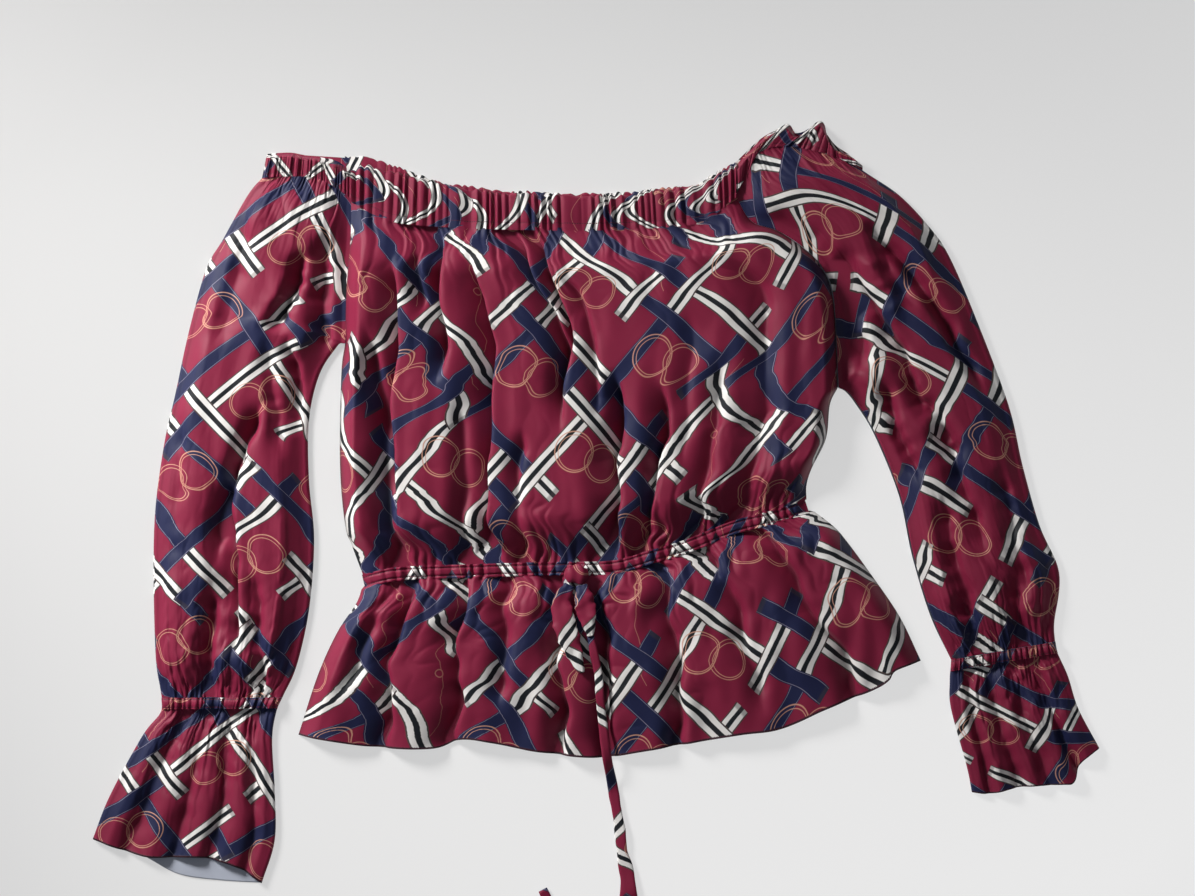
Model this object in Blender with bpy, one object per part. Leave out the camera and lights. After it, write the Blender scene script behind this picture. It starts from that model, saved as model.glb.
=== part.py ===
# Off-shoulder blouse laid flat, front up.
# The surface it lies on is z = 0, the neckline points to +Y and the wearer's right is at -X.
# All sizes below are in millimetres. The meshes are made in metres.

import bpy
from bisect import bisect_right
from collections import namedtuple
from math import cos, exp, hypot, pi, radians, sin
from mathutils import Vector

MM = 0.001

# Cloth and seams
WALL = 1.2
CASING_WALL = 2.0
SEAM_GAP = 0.3
BACK_CASING_TOP = 2.0
LOWEST_FRONT = WALL + SEAM_GAP

# Gathers on the elastics, counted as pleats
NECK_PUCKERS = 32
WAIST_PUCKERS = 32
BACK_PUCKERS = 16
WRIST_PUCKERS = 6
PUCKER = 0.9
PUCKER_REACH = 26.0
WAIST_CHANNEL = 7.0
WRIST_CHANNEL = 9.0

# How high the upper layer stands over the floor
NECK_HEIGHT = 6.6
WAIST_HEIGHT = 6.4
BODY_HEIGHT = 9.5
SIDE_HEIGHT = 3.0
RAGLAN_HEIGHT = 4.6
PEPLUM_HEIGHT = 8.5
HEM_HEIGHT = 4.0
SLEEVE_HEIGHT = 9.0
SLEEVE_RIM = 5.0
WRIST_HEIGHT = 6.6
CUFF_HEIGHT = 7.5
SIDE_RISE = 26.0
END_RISE = 45.0
END_SHARE = 0.42

# Rounded edges of the tubes that lie folded flat
OUTER_ROLL = 4.0
INNER_ROLL = 3.0

# Seams and edges: x, y of the points that shape each line, from the neck down or from -X to +X
NECK_SEAM = [(-188, 233), (-170, 223), (-147, 216), (-82, 212), (3, 211), (72, 215), (89, 222), (107, 236)]
FRONT_NECK_TOP = [(-188, 254), (-175, 258), (-159, 254), (-124, 246), (-101, 241), (-66, 237),
                  (3, 235), (49, 239), (72, 242), (89, 249), (107, 259)]
BACK_NECK_TOP = [(-193, 265), (-176, 265), (-159, 260), (-124, 247), (-101, 243), (-66, 239),
                 (3, 237), (49, 241), (72, 243), (89, 251), (107, 261)]
RIGHT_RAGLAN = [(-188, 233), (-189, 202), (-192, 163), (-193, 122)]
LEFT_RAGLAN = [(107, 236), (119, 216), (138, 209), (157, 197), (172, 182), (182, 156), (186, 88)]
RIGHT_SIDE = [(-193, 122), (-196, 98), (-197, 28), (-193, -18), (-188, -33), (-179, -57)]
LEFT_SIDE = [(186, 88), (180, 75), (177, 49), (166, 26), (162, 13), (162, 2)]
WAIST = [(-179, -61), (-152, -55), (-102, -53), (-38, -51), (12, -50), (42, -42), (72, -33),
         (104, -20), (134, -12), (162, -3)]
RIGHT_PEPLUM_SIDE = [(-179, -61), (-184, -77), (-199, -100), (-214, -133), (-229, -179)]
LEFT_PEPLUM_SIDE = [(162, -3), (182, -18), (192, -29), (209, -52), (233, -87), (250, -122)]
FRONT_HEM = [(-229, -179), (-205, -183), (-170, -188), (-124, -189), (-103, -182), (-78, -185),
             (-43, -192), (3, -196), (38, -191), (107, -179), (142, -174), (176, -159),
             (211, -145), (224, -137), (230, -129), (250, -122)]
RIGHT_SHOULDER_FRONT = [(-188, 254), (-201, 263), (-224, 267), (-236, 269), (-253, 268)]
RIGHT_SHOULDER_BACK = [(-193, 265), (-209, 266), (-224, 267), (-236, 269), (-253, 268)]
RIGHT_SHOULDER_SEAM = [(-188, 233), (-201, 242), (-216, 249), (-236, 250), (-257, 249)]
LEFT_SHOULDER_FRONT = [(107, 259), (126, 278), (138, 286), (148, 291), (155, 282), (163, 287),
                       (174, 293), (181, 274), (194, 267), (205, 259)]
LEFT_SHOULDER_BACK = [(107, 261), (126, 279), (140, 286), (155, 284), (172, 288), (184, 275),
                      (194, 268), (205, 259)]
LEFT_SHOULDER_SEAM = [(107, 236), (116, 251), (125, 268), (142, 273), (161, 271), (183, 265), (205, 255)]
RIGHT_SLEEVE_OUTER = [(-257, 249), (-268, 236), (-287, 202), (-300, 179), (-313, 132), (-323, 86),
                      (-333, 40), (-340, -22), (-339, -114), (-334, -150)]
RIGHT_UNDERARM = [(-193, 122), (-200, 120), (-214, 98), (-222, 63), (-222, 17), (-218, -29),
                  (-222, -83), (-232, -128), (-241, -150)]
LEFT_SLEEVE_OUTER = [(205, 255), (232, 236), (254, 213), (270, 190), (290, 144), (316, 75),
                     (327, 28), (340, -18), (355, -54), (352, -91), (353, -107)]
LEFT_UNDERARM = [(186, 88), (192, 85), (200, 75), (214, 52), (233, 5), (243, -41), (257, -87), (273, -121)]
RIGHT_CUFF_OUTER = [(-334, -150), (-335, -162), (-349, -180), (-374, -226), (-387, -259)]
RIGHT_CUFF_INNER = [(-241, -150), (-246, -162), (-249, -183), (-247, -222), (-247, -260), (-257, -293)]
RIGHT_HEM_UPPER = [(-257, -293), (-277, -280), (-305, -273), (-347, -272), (-387, -259)]
RIGHT_HEM_UNDER = [(-257, -293), (-290, -291), (-322, -286), (-351, -271), (-387, -259)]
LEFT_CUFF_OUTER = [(353, -107), (355, -116), (363, -134), (371, -159), (387, -189)]
LEFT_CUFF_INNER = [(273, -121), (272, -138), (273, -159), (285, -203), (289, -223)]
LEFT_HEM_UPPER = [(289, -223), (303, -224), (326, -219), (357, -217), (367, -215), (373, -200), (387, -189)]
LEFT_HEM_UNDER = [(289, -223), (319, -219), (357, -207), (373, -198), (387, -189)]

# Rows of the body: where its grid lines meet the seams, as shares of each side's length
RIGHT_ARMPIT = 0.38
LEFT_ARMPIT = 0.67
BODY_ROWS = [0.0, 0.08, 0.22, RIGHT_ARMPIT, 0.52, LEFT_ARMPIT, 0.81, 0.93, 1.0]
PEPLUM_ROWS = [0.0, 0.18, 0.45, 0.75, 1.0]

# Main folds of each piece, as valleys (depth below zero) and ridges.
# across and along run from 0 to 1 over the piece. left and right are the half widths in mm.
Fold = namedtuple("Fold", "across along to_across to_along bend depth left right")
BODY_FOLDS = [
    Fold(0.05, 0.30, 0.09, 1.00, 0.01, -4.5, 14, 9),
    Fold(0.11, 0.08, 0.10, 0.95, 0.00, -4.0, 16, 5),
    Fold(0.21, 0.00, 0.19, 0.50, 0.00, -4.0, 10, 8),
    Fold(0.24, 0.45, 0.23, 1.00, 0.00, -2.5, 10, 8),
    Fold(0.30, 0.06, 0.29, 1.00, 0.00, -5.0, 20, 5),
    Fold(0.41, 0.00, 0.44, 0.60, 0.00, -4.5, 10, 6),
    Fold(0.48, 0.02, 0.50, 0.60, 0.00, -4.0, 12, 6),
    Fold(0.55, 0.40, 0.54, 1.00, 0.00, -5.5, 14, 6),
    Fold(0.64, 0.50, 0.62, 1.00, 0.00, -3.0, 10, 8),
    Fold(0.74, 0.40, 0.74, 1.00, 0.00, -2.5, 16, 10),
    Fold(0.86, 0.20, 0.83, 1.00, 0.00, -3.0, 16, 16),
]
PEPLUM_FOLDS = [
    Fold(0.10, 0.00, 0.13, 0.95, 0.00, -3.5, 12, 8),
    Fold(0.22, 0.05, 0.24, 1.00, 0.00, -4.5, 16, 8),
    Fold(0.31, 0.00, 0.32, 0.85, 0.00, -3.0, 10, 8),
    Fold(0.42, 0.00, 0.41, 1.00, 0.00, -4.5, 12, 7),
    Fold(0.50, 0.05, 0.48, 1.00, 0.00, -4.5, 12, 8),
    Fold(0.64, 0.00, 0.60, 1.00, 0.00, -4.0, 12, 10),
    Fold(0.74, 0.00, 0.73, 0.95, 0.01, -3.0, 12, 10),
    Fold(0.86, 0.00, 0.88, 1.00, 0.00, -4.0, 14, 9),
]
RIGHT_SLEEVE_FOLDS = [
    Fold(0.12, 0.08, 0.42, 0.62, 0.05, -4.5, 12, 9),
    Fold(0.35, 0.30, 0.60, 1.00, 0.02, -4.0, 12, 9),
    Fold(0.30, 0.00, 0.15, 0.30, 0.00, -4.5, 10, 8),
    Fold(0.72, 0.35, 0.78, 1.00, 0.00, -3.0, 12, 12),
    Fold(0.20, 0.55, 0.30, 1.00, 0.00, -3.5, 9, 9),
]
LEFT_SLEEVE_FOLDS = [
    Fold(0.05, 0.15, 0.25, 0.70, 0.03, -5.0, 11, 8),
    Fold(0.30, 0.05, 0.45, 0.60, 0.03, -4.5, 12, 9),
    Fold(0.50, 0.45, 0.55, 1.00, 0.02, -4.0, 12, 9),
    Fold(0.75, 0.55, 0.70, 1.00, 0.00, -3.0, 12, 12),
    Fold(0.60, 0.05, 0.70, 0.45, 0.00, -2.5, 14, 14),
]
CUFF_FOLDS = [
    Fold(0.18, 0.00, 0.12, 1.00, 0.00, -3.0, 8, 8),
    Fold(0.36, 0.00, 0.33, 1.00, 0.00, -3.2, 8, 8),
    Fold(0.56, 0.00, 0.54, 1.00, 0.00, -3.0, 9, 9),
    Fold(0.76, 0.00, 0.80, 1.00, 0.00, -3.2, 9, 9),
]

# The bow and its tail: x, y and width of each place along the strap
Strap = namedtuple("Strap", "x y width")
KNOT_PLACE = (-15, -55)
KNOT_SIZE = (19, 15, 8)
RIGHT_LOOP = [Strap(-20, -63, 8), Strap(-26, -76, 15), Strap(-24, -92, 18), Strap(-19, -108, 17),
              Strap(-14, -122, 12), Strap(-11, -130, 5)]
LEFT_LOOP = [Strap(-11, -63, 8), Strap(-9, -74, 15), Strap(-7, -86, 16), Strap(-5, -96, 11),
             Strap(-4, -102, 5)]
LOOP_THICK = 3.4
TAIL_ROUTE = [(-4, -102.4), (-1, -118), (2, -133), (3, -149), (5, -168), (7, -185), (9, -199), (12, -214),
              (15, -232), (18, -249), (20, -268), (24, -287), (25, -303), (25, -318), (19, -333),
              (5, -342), (-10, -339), (-24, -326), (-34, -312), (-41, -298)]
TAIL_RADIUS = 3.0
TAIL_STEP = 9.0

BURGUNDY = (0.22, 0.018, 0.055)
NAVY = (0.015, 0.02, 0.09)
STRIPE = (0.55, 0.53, 0.52)
CLOTH_ROUGHNESS = 0.55


# Lines through points

def ease(value):
    value = min(1.0, max(0.0, value))
    return value * value * (3.0 - 2.0 * value)


def line_through(points, steps=8):
    """Return a function that gives the place at a share of the length of a smooth line."""
    ends = [(2 * points[0][0] - points[1][0], 2 * points[0][1] - points[1][1]),
            (2 * points[-1][0] - points[-2][0], 2 * points[-1][1] - points[-2][1])]
    padded = [ends[0]] + list(points) + [ends[1]]
    dense = []
    for before, start, end, after in zip(padded, padded[1:], padded[2:], padded[3:]):
        for step in range(steps):
            s = step / steps
            place = []
            for p0, p1, p2, p3 in zip(before, start, end, after):
                bend = (2 * p0 - 5 * p1 + 4 * p2 - p3) * s * s + (3 * p1 - p0 - 3 * p2 + p3) * s ** 3
                place.append(p1 + 0.5 * ((p2 - p0) * s + bend))
            dense.append(tuple(place))
    dense.append(tuple(points[-1]))
    reached = [0.0]
    for here, there in zip(dense, dense[1:]):
        reached.append(reached[-1] + hypot(there[0] - here[0], there[1] - here[1]))

    def at(share):
        target = min(1.0, max(0.0, share)) * reached[-1]
        index = min(bisect_right(reached, target), len(reached) - 1)
        span = reached[index] - reached[index - 1]
        s = (target - reached[index - 1]) / span if span else 0.0
        here, there = dense[index - 1], dense[index]
        return (here[0] + (there[0] - here[0]) * s, here[1] + (there[1] - here[1]) * s)

    at.length = reached[-1]
    return at


def joined(first, second, share):
    """Two lines that meet at a corner, read as one. The corner is at the given share."""
    def at(value):
        if value <= share:
            return first(value / share)
        return second((value - share) / (1.0 - share))
    return at


def part_of(line, start, end):
    return lambda share: line(start + (end - start) * share)


def beside(line, distance):
    """A line at a distance to the left of its direction."""
    def at(share):
        before, here, after = line(share - 0.01), line(share), line(share + 0.01)
        run = (after[0] - before[0], after[1] - before[1])
        size = hypot(*run)
        return (here[0] - run[1] / size * distance, here[1] + run[0] / size * distance)
    return at


def patch(top, bottom, left, right):
    """Fill the space between four lines. It gives the place at shares across and along."""
    def at(across, along):
        place = []
        for axis in range(2):
            ruled = (1 - along) * top(across)[axis] + along * bottom(across)[axis]
            ruled += (1 - across) * left(along)[axis] + across * right(along)[axis]
            corners = (1 - along) * ((1 - across) * top(0)[axis] + across * top(1)[axis])
            corners += along * ((1 - across) * bottom(0)[axis] + across * bottom(1)[axis])
            place.append(ruled - corners)
        return place
    return at


# Heights

def fold_height(folds, across, along, width):
    total = 0.0
    for fold in folds:
        run = (along - fold.along) / (fold.to_along - fold.along)
        if not 0.0 <= run <= 1.0:
            continue
        middle = fold.across + (fold.to_across - fold.across) * run + fold.bend * 4 * run * (1 - run)
        off = (across - middle) * width
        half = fold.left if off < 0 else fold.right
        fade = 1.0
        if fold.along > 0.01:
            fade *= ease(run / 0.2)
        if fold.to_along < 0.99:
            fade *= ease((1 - run) / 0.25)
        total += fold.depth * exp(-(off / half) ** 2) * fade
    return total


def crown(across, along, width, length, rims, middle):
    """The soft rise of a layer from its edges. rims are the heights at its two sides."""
    rim = rims[0] + (rims[1] - rims[0]) * across
    side = ease(min(across, 1 - across) * width / SIDE_RISE)
    end = END_SHARE + (1 - END_SHARE) * ease(min(along, 1 - along) * length / END_RISE)
    return rim + (middle - rim) * side * end


def pucker(index, fade=1.0):
    """Gathers fold up and down from one column to the next, each a little different."""
    uneven = 0.75 + 0.25 * sin(index * 2.4) * cos(index * 0.7)
    return PUCKER * uneven * fade * (1 if index % 2 else -1)


# Solids

def new_object(name, vertices, faces, colour):
    mesh = bpy.data.meshes.new(name)
    mesh.from_pydata([Vector(v) * MM for v in vertices], [], faces)
    mesh.update()
    size = 0.0
    for a, b, c in faces:
        size += Vector(vertices[a]).dot(Vector(vertices[b]).cross(Vector(vertices[c])))
    if size < 0:
        mesh.flip_normals()
    material = bpy.data.materials.new(name + " cloth")
    material.use_nodes = True
    shader = material.node_tree.nodes["Principled BSDF"]
    shader.inputs["Base Color"].default_value = (*colour, 1.0)
    shader.inputs["Roughness"].default_value = CLOTH_ROUGHNESS
    mesh.materials.append(material)
    made = bpy.data.objects.new(name, mesh)
    bpy.context.scene.collection.objects.link(made)
    return made


def draw_in(grid, sides, gap):
    """Move the named edges of a grid of cells inwards in plan, to leave the gap of a seam."""
    last_row, last_column = len(grid) - 1, len(grid[0]) - 1
    lines = {
        "top": [((0, c), (1, c)) for c in range(last_column + 1)],
        "bottom": [((last_row, c), (last_row - 1, c)) for c in range(last_column + 1)],
        "left": [((r, 0), (r, 1)) for r in range(last_row + 1)],
        "right": [((r, last_column), (r, last_column - 1)) for r in range(last_row + 1)],
    }
    moves = {}
    for side in sides:
        line = lines[side]
        for index, (spot, inner) in enumerate(line):
            before = grid[line[max(index - 1, 0)][0][0]][line[max(index - 1, 0)][0][1]][0]
            after_spot = line[min(index + 1, len(line) - 1)][0]
            after = grid[after_spot[0]][after_spot[1]][0]
            run = Vector((after[0] - before[0], after[1] - before[1]))
            normal = Vector((-run.y, run.x)).normalized()
            here = grid[spot[0]][spot[1]][0]
            there = grid[inner[0]][inner[1]][0]
            if normal.dot(Vector((there[0] - here[0], there[1] - here[1]))) < 0:
                normal.negate()
            moves[spot] = moves.get(spot, Vector((0.0, 0.0))) + normal * gap
    for (row, column), move in moves.items():
        for skin in grid[row][column]:
            skin[0] += move.x
            skin[1] += move.y


def slab(name, grid, colour):
    """Close a grid of pairs (outer point, inner point) into one solid wall."""
    rows, columns = len(grid), len(grid[0])
    vertices = []
    for row in grid:
        vertices.extend(cell[0] for cell in row)
    for row in grid:
        vertices.extend(cell[1] for cell in row)
    inner = rows * columns
    faces = []
    for row in range(rows - 1):
        for column in range(columns - 1):
            a = row * columns + column
            b, c, d = a + 1, a + columns + 1, a + columns
            faces += [(a, b, c), (a, c, d)]
            faces += [(inner + a, inner + c, inner + b), (inner + a, inner + d, inner + c)]
    rim = [(0, c) for c in range(columns)]
    rim += [(r, columns - 1) for r in range(1, rows)]
    rim += [(rows - 1, c) for c in range(columns - 2, -1, -1)]
    rim += [(r, 0) for r in range(rows - 2, 0, -1)]
    for here, there in zip(rim, rim[1:] + rim[:1]):
        a = here[0] * columns + here[1]
        b = there[0] * columns + there[1]
        faces += [(b, a, inner + a), (b, inner + a, inner + b)]
    return new_object(name, vertices, faces, colour)


def give_wall(grid, wall, floor):
    """Set each inner point under its outer one, deeper where the layer is steep."""
    rows, columns = len(grid), len(grid[0])
    for row in range(rows):
        for column in range(columns):
            here = grid[row][column][0]
            steepest = 0.0
            for r, c in ((row, column - 1), (row, column + 1), (row - 1, column), (row + 1, column)):
                if 0 <= r < rows and 0 <= c < columns:
                    there = grid[r][c][0]
                    run = hypot(there[0] - here[0], there[1] - here[1])
                    steepest = max(steepest, abs(there[2] - here[2]) / run)
            depth = wall * min(2.0, hypot(1.0, steepest))
            grid[row][column][1][:] = [here[0], here[1], max(floor, here[2] - depth)]


def upper_panel(name, plan, rows, columns, height, seams, wall=WALL, floor=LOWEST_FRONT):
    """A layer of cloth over the back: height(across, along, column) is its upper side."""
    grid = []
    for along in rows:
        line = []
        for column in range(columns + 1):
            across = column / columns
            x, y = plan(across, along)
            z = max(floor + wall + 0.05, height(across, along, column))
            line.append(([x, y, z], [x, y, z]))
        grid.append(line)
    draw_in(grid, seams, SEAM_GAP / 2)
    give_wall(grid, wall, floor)
    slab(name, grid, BURGUNDY)
    return grid


def lower_panel(name, plan, rows, columns, seams, wall=WALL, puckered=0.0):
    """A layer that lies on the floor with a flat underside."""
    grid = []
    for along in rows:
        line = []
        for column in range(columns + 1):
            x, y = plan(column / columns, along)
            z = wall + puckered * max(0.0, pucker(column))
            line.append(([x, y, z], [x, y, 0.0]))
        grid.append(line)
    draw_in(grid, seams, SEAM_GAP / 2)
    slab(name, grid, BURGUNDY)


def tube_row(upper, under, along, width, height, counts, wall, closed):
    """One row of a tube that lies flat: upper layer, rolled outer edge, then the underside.

    closed runs from 0, where the layers part at a seam, to 1, where they meet at the underarm."""
    upper_count, under_count = counts
    row = []

    def place(plan, distance):
        return plan(distance / width, along)

    def add(plan, out, high, inside_out, inside_high):
        x, y = place(plan, out)
        inner_x, inner_y = place(plan, inside_out)
        row.append(([x, y, high], [inner_x, inner_y, inside_high]))

    inner_top = height(INNER_ROLL / width, along, 0)
    middle = inner_top / 2
    for turn in (0, 45, 90):
        angle = radians(turn)
        round_out = INNER_ROLL * (1 - cos(angle))
        round_high = middle + SEAM_GAP / 2 + (inner_top - middle - SEAM_GAP / 2) * sin(angle)
        inside_out = INNER_ROLL - (INNER_ROLL - wall) * cos(angle)
        inside_high = middle + SEAM_GAP / 2 + (inner_top - middle - SEAM_GAP / 2 - wall) * sin(angle)
        flat_out = INNER_ROLL * turn / 90
        out = flat_out + (round_out - flat_out) * closed
        high = inner_top + (round_high - inner_top) * closed
        deep_out = flat_out + (inside_out - flat_out) * closed
        deep_high = inner_top - wall + (inside_high - inner_top + wall) * closed
        add(upper, out, high, deep_out, deep_high)
    for index in range(1, upper_count + 1):
        out = INNER_ROLL + (width - INNER_ROLL - OUTER_ROLL) * index / (upper_count + 1)
        high = height(out / width, along, index)
        add(upper, out, high, out, high - wall * 1.15)
    top = height(1 - OUTER_ROLL / width, along, 0)
    for turn in (90, 45, 0, -45, -90):
        angle = radians(turn)
        out = width - OUTER_ROLL + OUTER_ROLL * cos(angle)
        inside = width - OUTER_ROLL + (OUTER_ROLL - wall) * cos(angle)
        plan = upper if turn >= 0 else under
        add(plan, out, top / 2 * (1 + sin(angle)), inside, top / 2 + (top / 2 - wall) * sin(angle))
    for index in range(1, under_count + 1):
        out = width - OUTER_ROLL - (width - INNER_ROLL - OUTER_ROLL) * index / (under_count + 1)
        add(under, out, 0.0, out, wall)
    for turn in (90, 45, 0):
        angle = radians(turn)
        half = middle - SEAM_GAP / 2
        flat_out = INNER_ROLL * turn / 90
        out = flat_out + (INNER_ROLL * (1 - cos(angle)) - flat_out) * closed
        deep_out = flat_out + (INNER_ROLL - (INNER_ROLL - wall) * cos(angle) - flat_out) * closed
        high = half * (1 - sin(angle)) * closed
        deep_high = wall + (half - (half - wall) * sin(angle) - wall) * closed
        add(under, out, high, deep_out, deep_high)
    return row


def flat_tube(name, upper, under, rows, height, counts, seams, wall=WALL, closed=lambda along: 1.0):
    """A sleeve, cuff or casing that lies flat, open along its underarm seam by the seam's gap."""
    grid = []
    for along in rows:
        start, end = upper(0, along), upper(1, along)
        width = hypot(end[0] - start[0], end[1] - start[1])
        grid.append(tube_row(upper, under, along, width, height, counts, wall, closed(along)))
    outer_edge = 3 + counts[0] + 2
    upper_half = [row[:outer_edge + 1] for row in grid]
    under_half = [row[outer_edge + 1:] for row in grid]
    upper_sides = [side for side in seams if side != "left"]
    draw_in(upper_half, upper_sides, SEAM_GAP / 2)
    draw_in(under_half, upper_sides, SEAM_GAP / 2)
    if "left" in seams:
        draw_in(upper_half, ["left"], SEAM_GAP / 2)
        draw_in(under_half, ["right"], SEAM_GAP / 2)
    slab(name, grid, BURGUNDY)
    return grid


# Pieces of the body

def body_sides():
    right = joined(line_through(RIGHT_RAGLAN), line_through(RIGHT_SIDE), RIGHT_ARMPIT)
    left = joined(line_through(LEFT_RAGLAN), line_through(LEFT_SIDE), LEFT_ARMPIT)
    return right, left


def waist_line(offset):
    return beside(line_through(WAIST), offset)


def add_bodice():
    right, left = body_sides()
    plan = patch(line_through(NECK_SEAM), waist_line(WAIST_CHANNEL / 2), right, left)
    columns = 2 * NECK_PUCKERS

    def height(across, along, column):
        start, end = plan(0, along), plan(1, along)
        width = hypot(end[0] - start[0], end[1] - start[1])
        length = 265.0
        rims = (RAGLAN_HEIGHT if along < RIGHT_ARMPIT else SIDE_HEIGHT,
                RAGLAN_HEIGHT if along < LEFT_ARMPIT else SIDE_HEIGHT)
        high = crown(across, along, width, length, rims, BODY_HEIGHT)
        high += fold_height(BODY_FOLDS, across, along, width)
        near = exp(-along * length / PUCKER_REACH) + exp(-(1 - along) * length / PUCKER_REACH)
        return high + pucker(column, near * ease(min(across, 1 - across) * width / 8))

    upper_panel("front_bodice", plan, BODY_ROWS, columns, height, ["top", "bottom", "left", "right"])
    lower_panel("back_bodice", plan, BODY_ROWS, 2 * BACK_PUCKERS, ["top", "bottom", "left", "right"])


def add_neck_casing():
    seam = line_through(NECK_SEAM)
    columns = 2 * NECK_PUCKERS
    front_top, back_top = line_through(FRONT_NECK_TOP), line_through(BACK_NECK_TOP)
    front = patch(front_top, seam, line_through([FRONT_NECK_TOP[0], NECK_SEAM[0]]),
                  line_through([FRONT_NECK_TOP[-1], NECK_SEAM[-1]]))
    back = patch(back_top, seam, line_through([BACK_NECK_TOP[0], NECK_SEAM[0]]),
                 line_through([BACK_NECK_TOP[-1], NECK_SEAM[-1]]))

    def height(across, along, column):
        return NECK_HEIGHT - 1.2 * along + pucker(column)

    upper_panel("front_neck_casing", front, [0.0, 1.0], columns, height, ["bottom", "left", "right"],
                CASING_WALL, BACK_CASING_TOP + PUCKER + SEAM_GAP)
    lower_panel("back_neck_casing", back, [0.0, 1.0], 2 * BACK_PUCKERS, ["bottom", "left", "right"],
                BACK_CASING_TOP, 1.0)


def add_waist_casing():
    upper, lower = waist_line(WAIST_CHANNEL / 2), waist_line(-WAIST_CHANNEL / 2)
    plan = patch(upper, lower, line_through([upper(0), lower(0)]), line_through([upper(1), lower(1)]))

    def height(across, along, column):
        return WAIST_HEIGHT + pucker(column) * ease(min(across, 1 - across) * 40)

    grid = upper_panel("front_waist_casing", plan, [0.0, 1.0], 2 * WAIST_PUCKERS, height,
                       ["top", "bottom"], CASING_WALL, BACK_CASING_TOP + PUCKER + SEAM_GAP)
    lower_panel("back_waist_casing", plan, [0.0, 1.0], 2 * BACK_PUCKERS, ["top", "bottom"],
                BACK_CASING_TOP, 1.0)
    return grid


def add_peplum():
    right, left = line_through(RIGHT_PEPLUM_SIDE), line_through(LEFT_PEPLUM_SIDE)
    top = waist_line(-WAIST_CHANNEL / 2)
    start = 0.05
    sides = [joined(line_through([top(0), right(start)]), part_of(right, start, 1), start),
             joined(line_through([top(1), left(start)]), part_of(left, start, 1), start)]
    front = patch(top, line_through(FRONT_HEM), *sides)
    back = patch(top, beside(line_through(FRONT_HEM), 2.0), *sides)
    columns = 2 * WAIST_PUCKERS

    def height(across, along, column):
        begin, end = front(0, along), front(1, along)
        width = hypot(end[0] - begin[0], end[1] - begin[1])
        length = 140.0
        high = crown(across, along, width, length, (SIDE_HEIGHT, SIDE_HEIGHT), PEPLUM_HEIGHT)
        high -= (high - HEM_HEIGHT) * ease((along - 0.6) / 0.4)
        high += fold_height(PEPLUM_FOLDS, across, along, width)
        high += 1.8 * ease((along - 0.3) / 0.7) * sin(across * 2 * pi * 7.5)
        near = exp(-along * length / PUCKER_REACH)
        return high + pucker(column, near * ease(min(across, 1 - across) * width / 8))

    grid = upper_panel("front_peplum", front, PEPLUM_ROWS, columns, height, ["top"])
    lower_panel("back_peplum", back, PEPLUM_ROWS, 2 * BACK_PUCKERS, ["top"])
    return grid


# Pieces of the sleeves

def sleeve_rows(armpit, body_armpit, below):
    """Rows that meet the body's rows along the raglan seam, then even ones down to the wrist."""
    rows = [armpit * row / body_armpit for row in BODY_ROWS if row <= body_armpit]
    return rows + [armpit + (1 - armpit) * (step + 1) / below for step in range(below)]


def add_sleeve(side, raglan, underarm, armpit, body_armpit, top, outer, wrist, folds):
    inner = joined(line_through(raglan), line_through(underarm), armpit)
    plan = patch(line_through(top), line_through(wrist), inner, line_through(outer))
    below = 6 if side == "right" else 5

    def height(across, along, column):
        begin, end = plan(0, along), plan(1, along)
        width = hypot(end[0] - begin[0], end[1] - begin[1])
        rims = (RAGLAN_HEIGHT, SLEEVE_RIM)
        high = crown(across, along, width, 420.0, rims, SLEEVE_HEIGHT)
        high += fold_height(folds, across, along, width)
        high += pucker(column, exp(-(1 - along) * 420.0 / PUCKER_REACH)) if column else 0.0
        return max(high, 2 * WALL + 0.6)

    def closed(along):
        return ease((along - armpit) / 0.04)

    flat_tube(side + "_sleeve", plan, plan, sleeve_rows(armpit, body_armpit, below), height, (10, 4),
              ["top", "bottom", "left"], WALL, closed)


def add_shoulder_casing(side, front_top, back_top, seam, neck_front, neck_back):
    outer = line_through([front_top[-1], seam[-1]])
    upper = patch(line_through(front_top), line_through(seam), line_through([neck_front, seam[0]]), outer)
    under = patch(line_through(back_top), line_through(seam), line_through([neck_back, seam[0]]), outer)

    def height(across, along, column):
        return NECK_HEIGHT + (pucker(column) if column else 0.0)

    flat_tube(side + "_shoulder_casing", upper, under, [0.0, 1.0], height, (10, 4), ["bottom", "left"],
              CASING_WALL, lambda along: 0.0)


def add_wrist_and_cuff(side, outer_points, inner_points, wrist, hem_upper, hem_under):
    outer, inner = line_through(outer_points), line_through(inner_points)
    wrist_line = line_through(wrist)
    outer_channel = WRIST_CHANNEL / outer.length
    inner_channel = WRIST_CHANNEL / inner.length
    lower = line_through([inner(inner_channel), outer(outer_channel)])
    casing = patch(wrist_line, lower, part_of(inner, 0, inner_channel), part_of(outer, 0, outer_channel))
    sides = (part_of(inner, inner_channel, 1), part_of(outer, outer_channel, 1))
    upper = patch(lower, line_through(hem_upper), *sides)
    under = patch(lower, line_through(hem_under), *sides)

    def casing_height(across, along, column):
        return WRIST_HEIGHT + (pucker(column) if column else 0.0)

    def cuff_height(across, along, column):
        begin, end = upper(0, along), upper(1, along)
        width = hypot(end[0] - begin[0], end[1] - begin[1])
        high = crown(across, along, width, 130.0, (SLEEVE_RIM, SLEEVE_RIM), CUFF_HEIGHT)
        high += fold_height(CUFF_FOLDS, across, along, width)
        high += 1.2 * ease(along) * sin(across * 2 * pi * 4)
        return max(high, 2 * WALL + 0.6)

    flat_tube(side + "_wrist_casing", casing, casing, [0.0, 1.0], casing_height,
              (2 * WRIST_PUCKERS, WRIST_PUCKERS), ["top", "bottom"], CASING_WALL)
    flat_tube(side + "_cuff", upper, under, [0.0, 0.3, 0.65, 1.0], cuff_height, (10, 5), ["top"])


# Bow and tail

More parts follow.
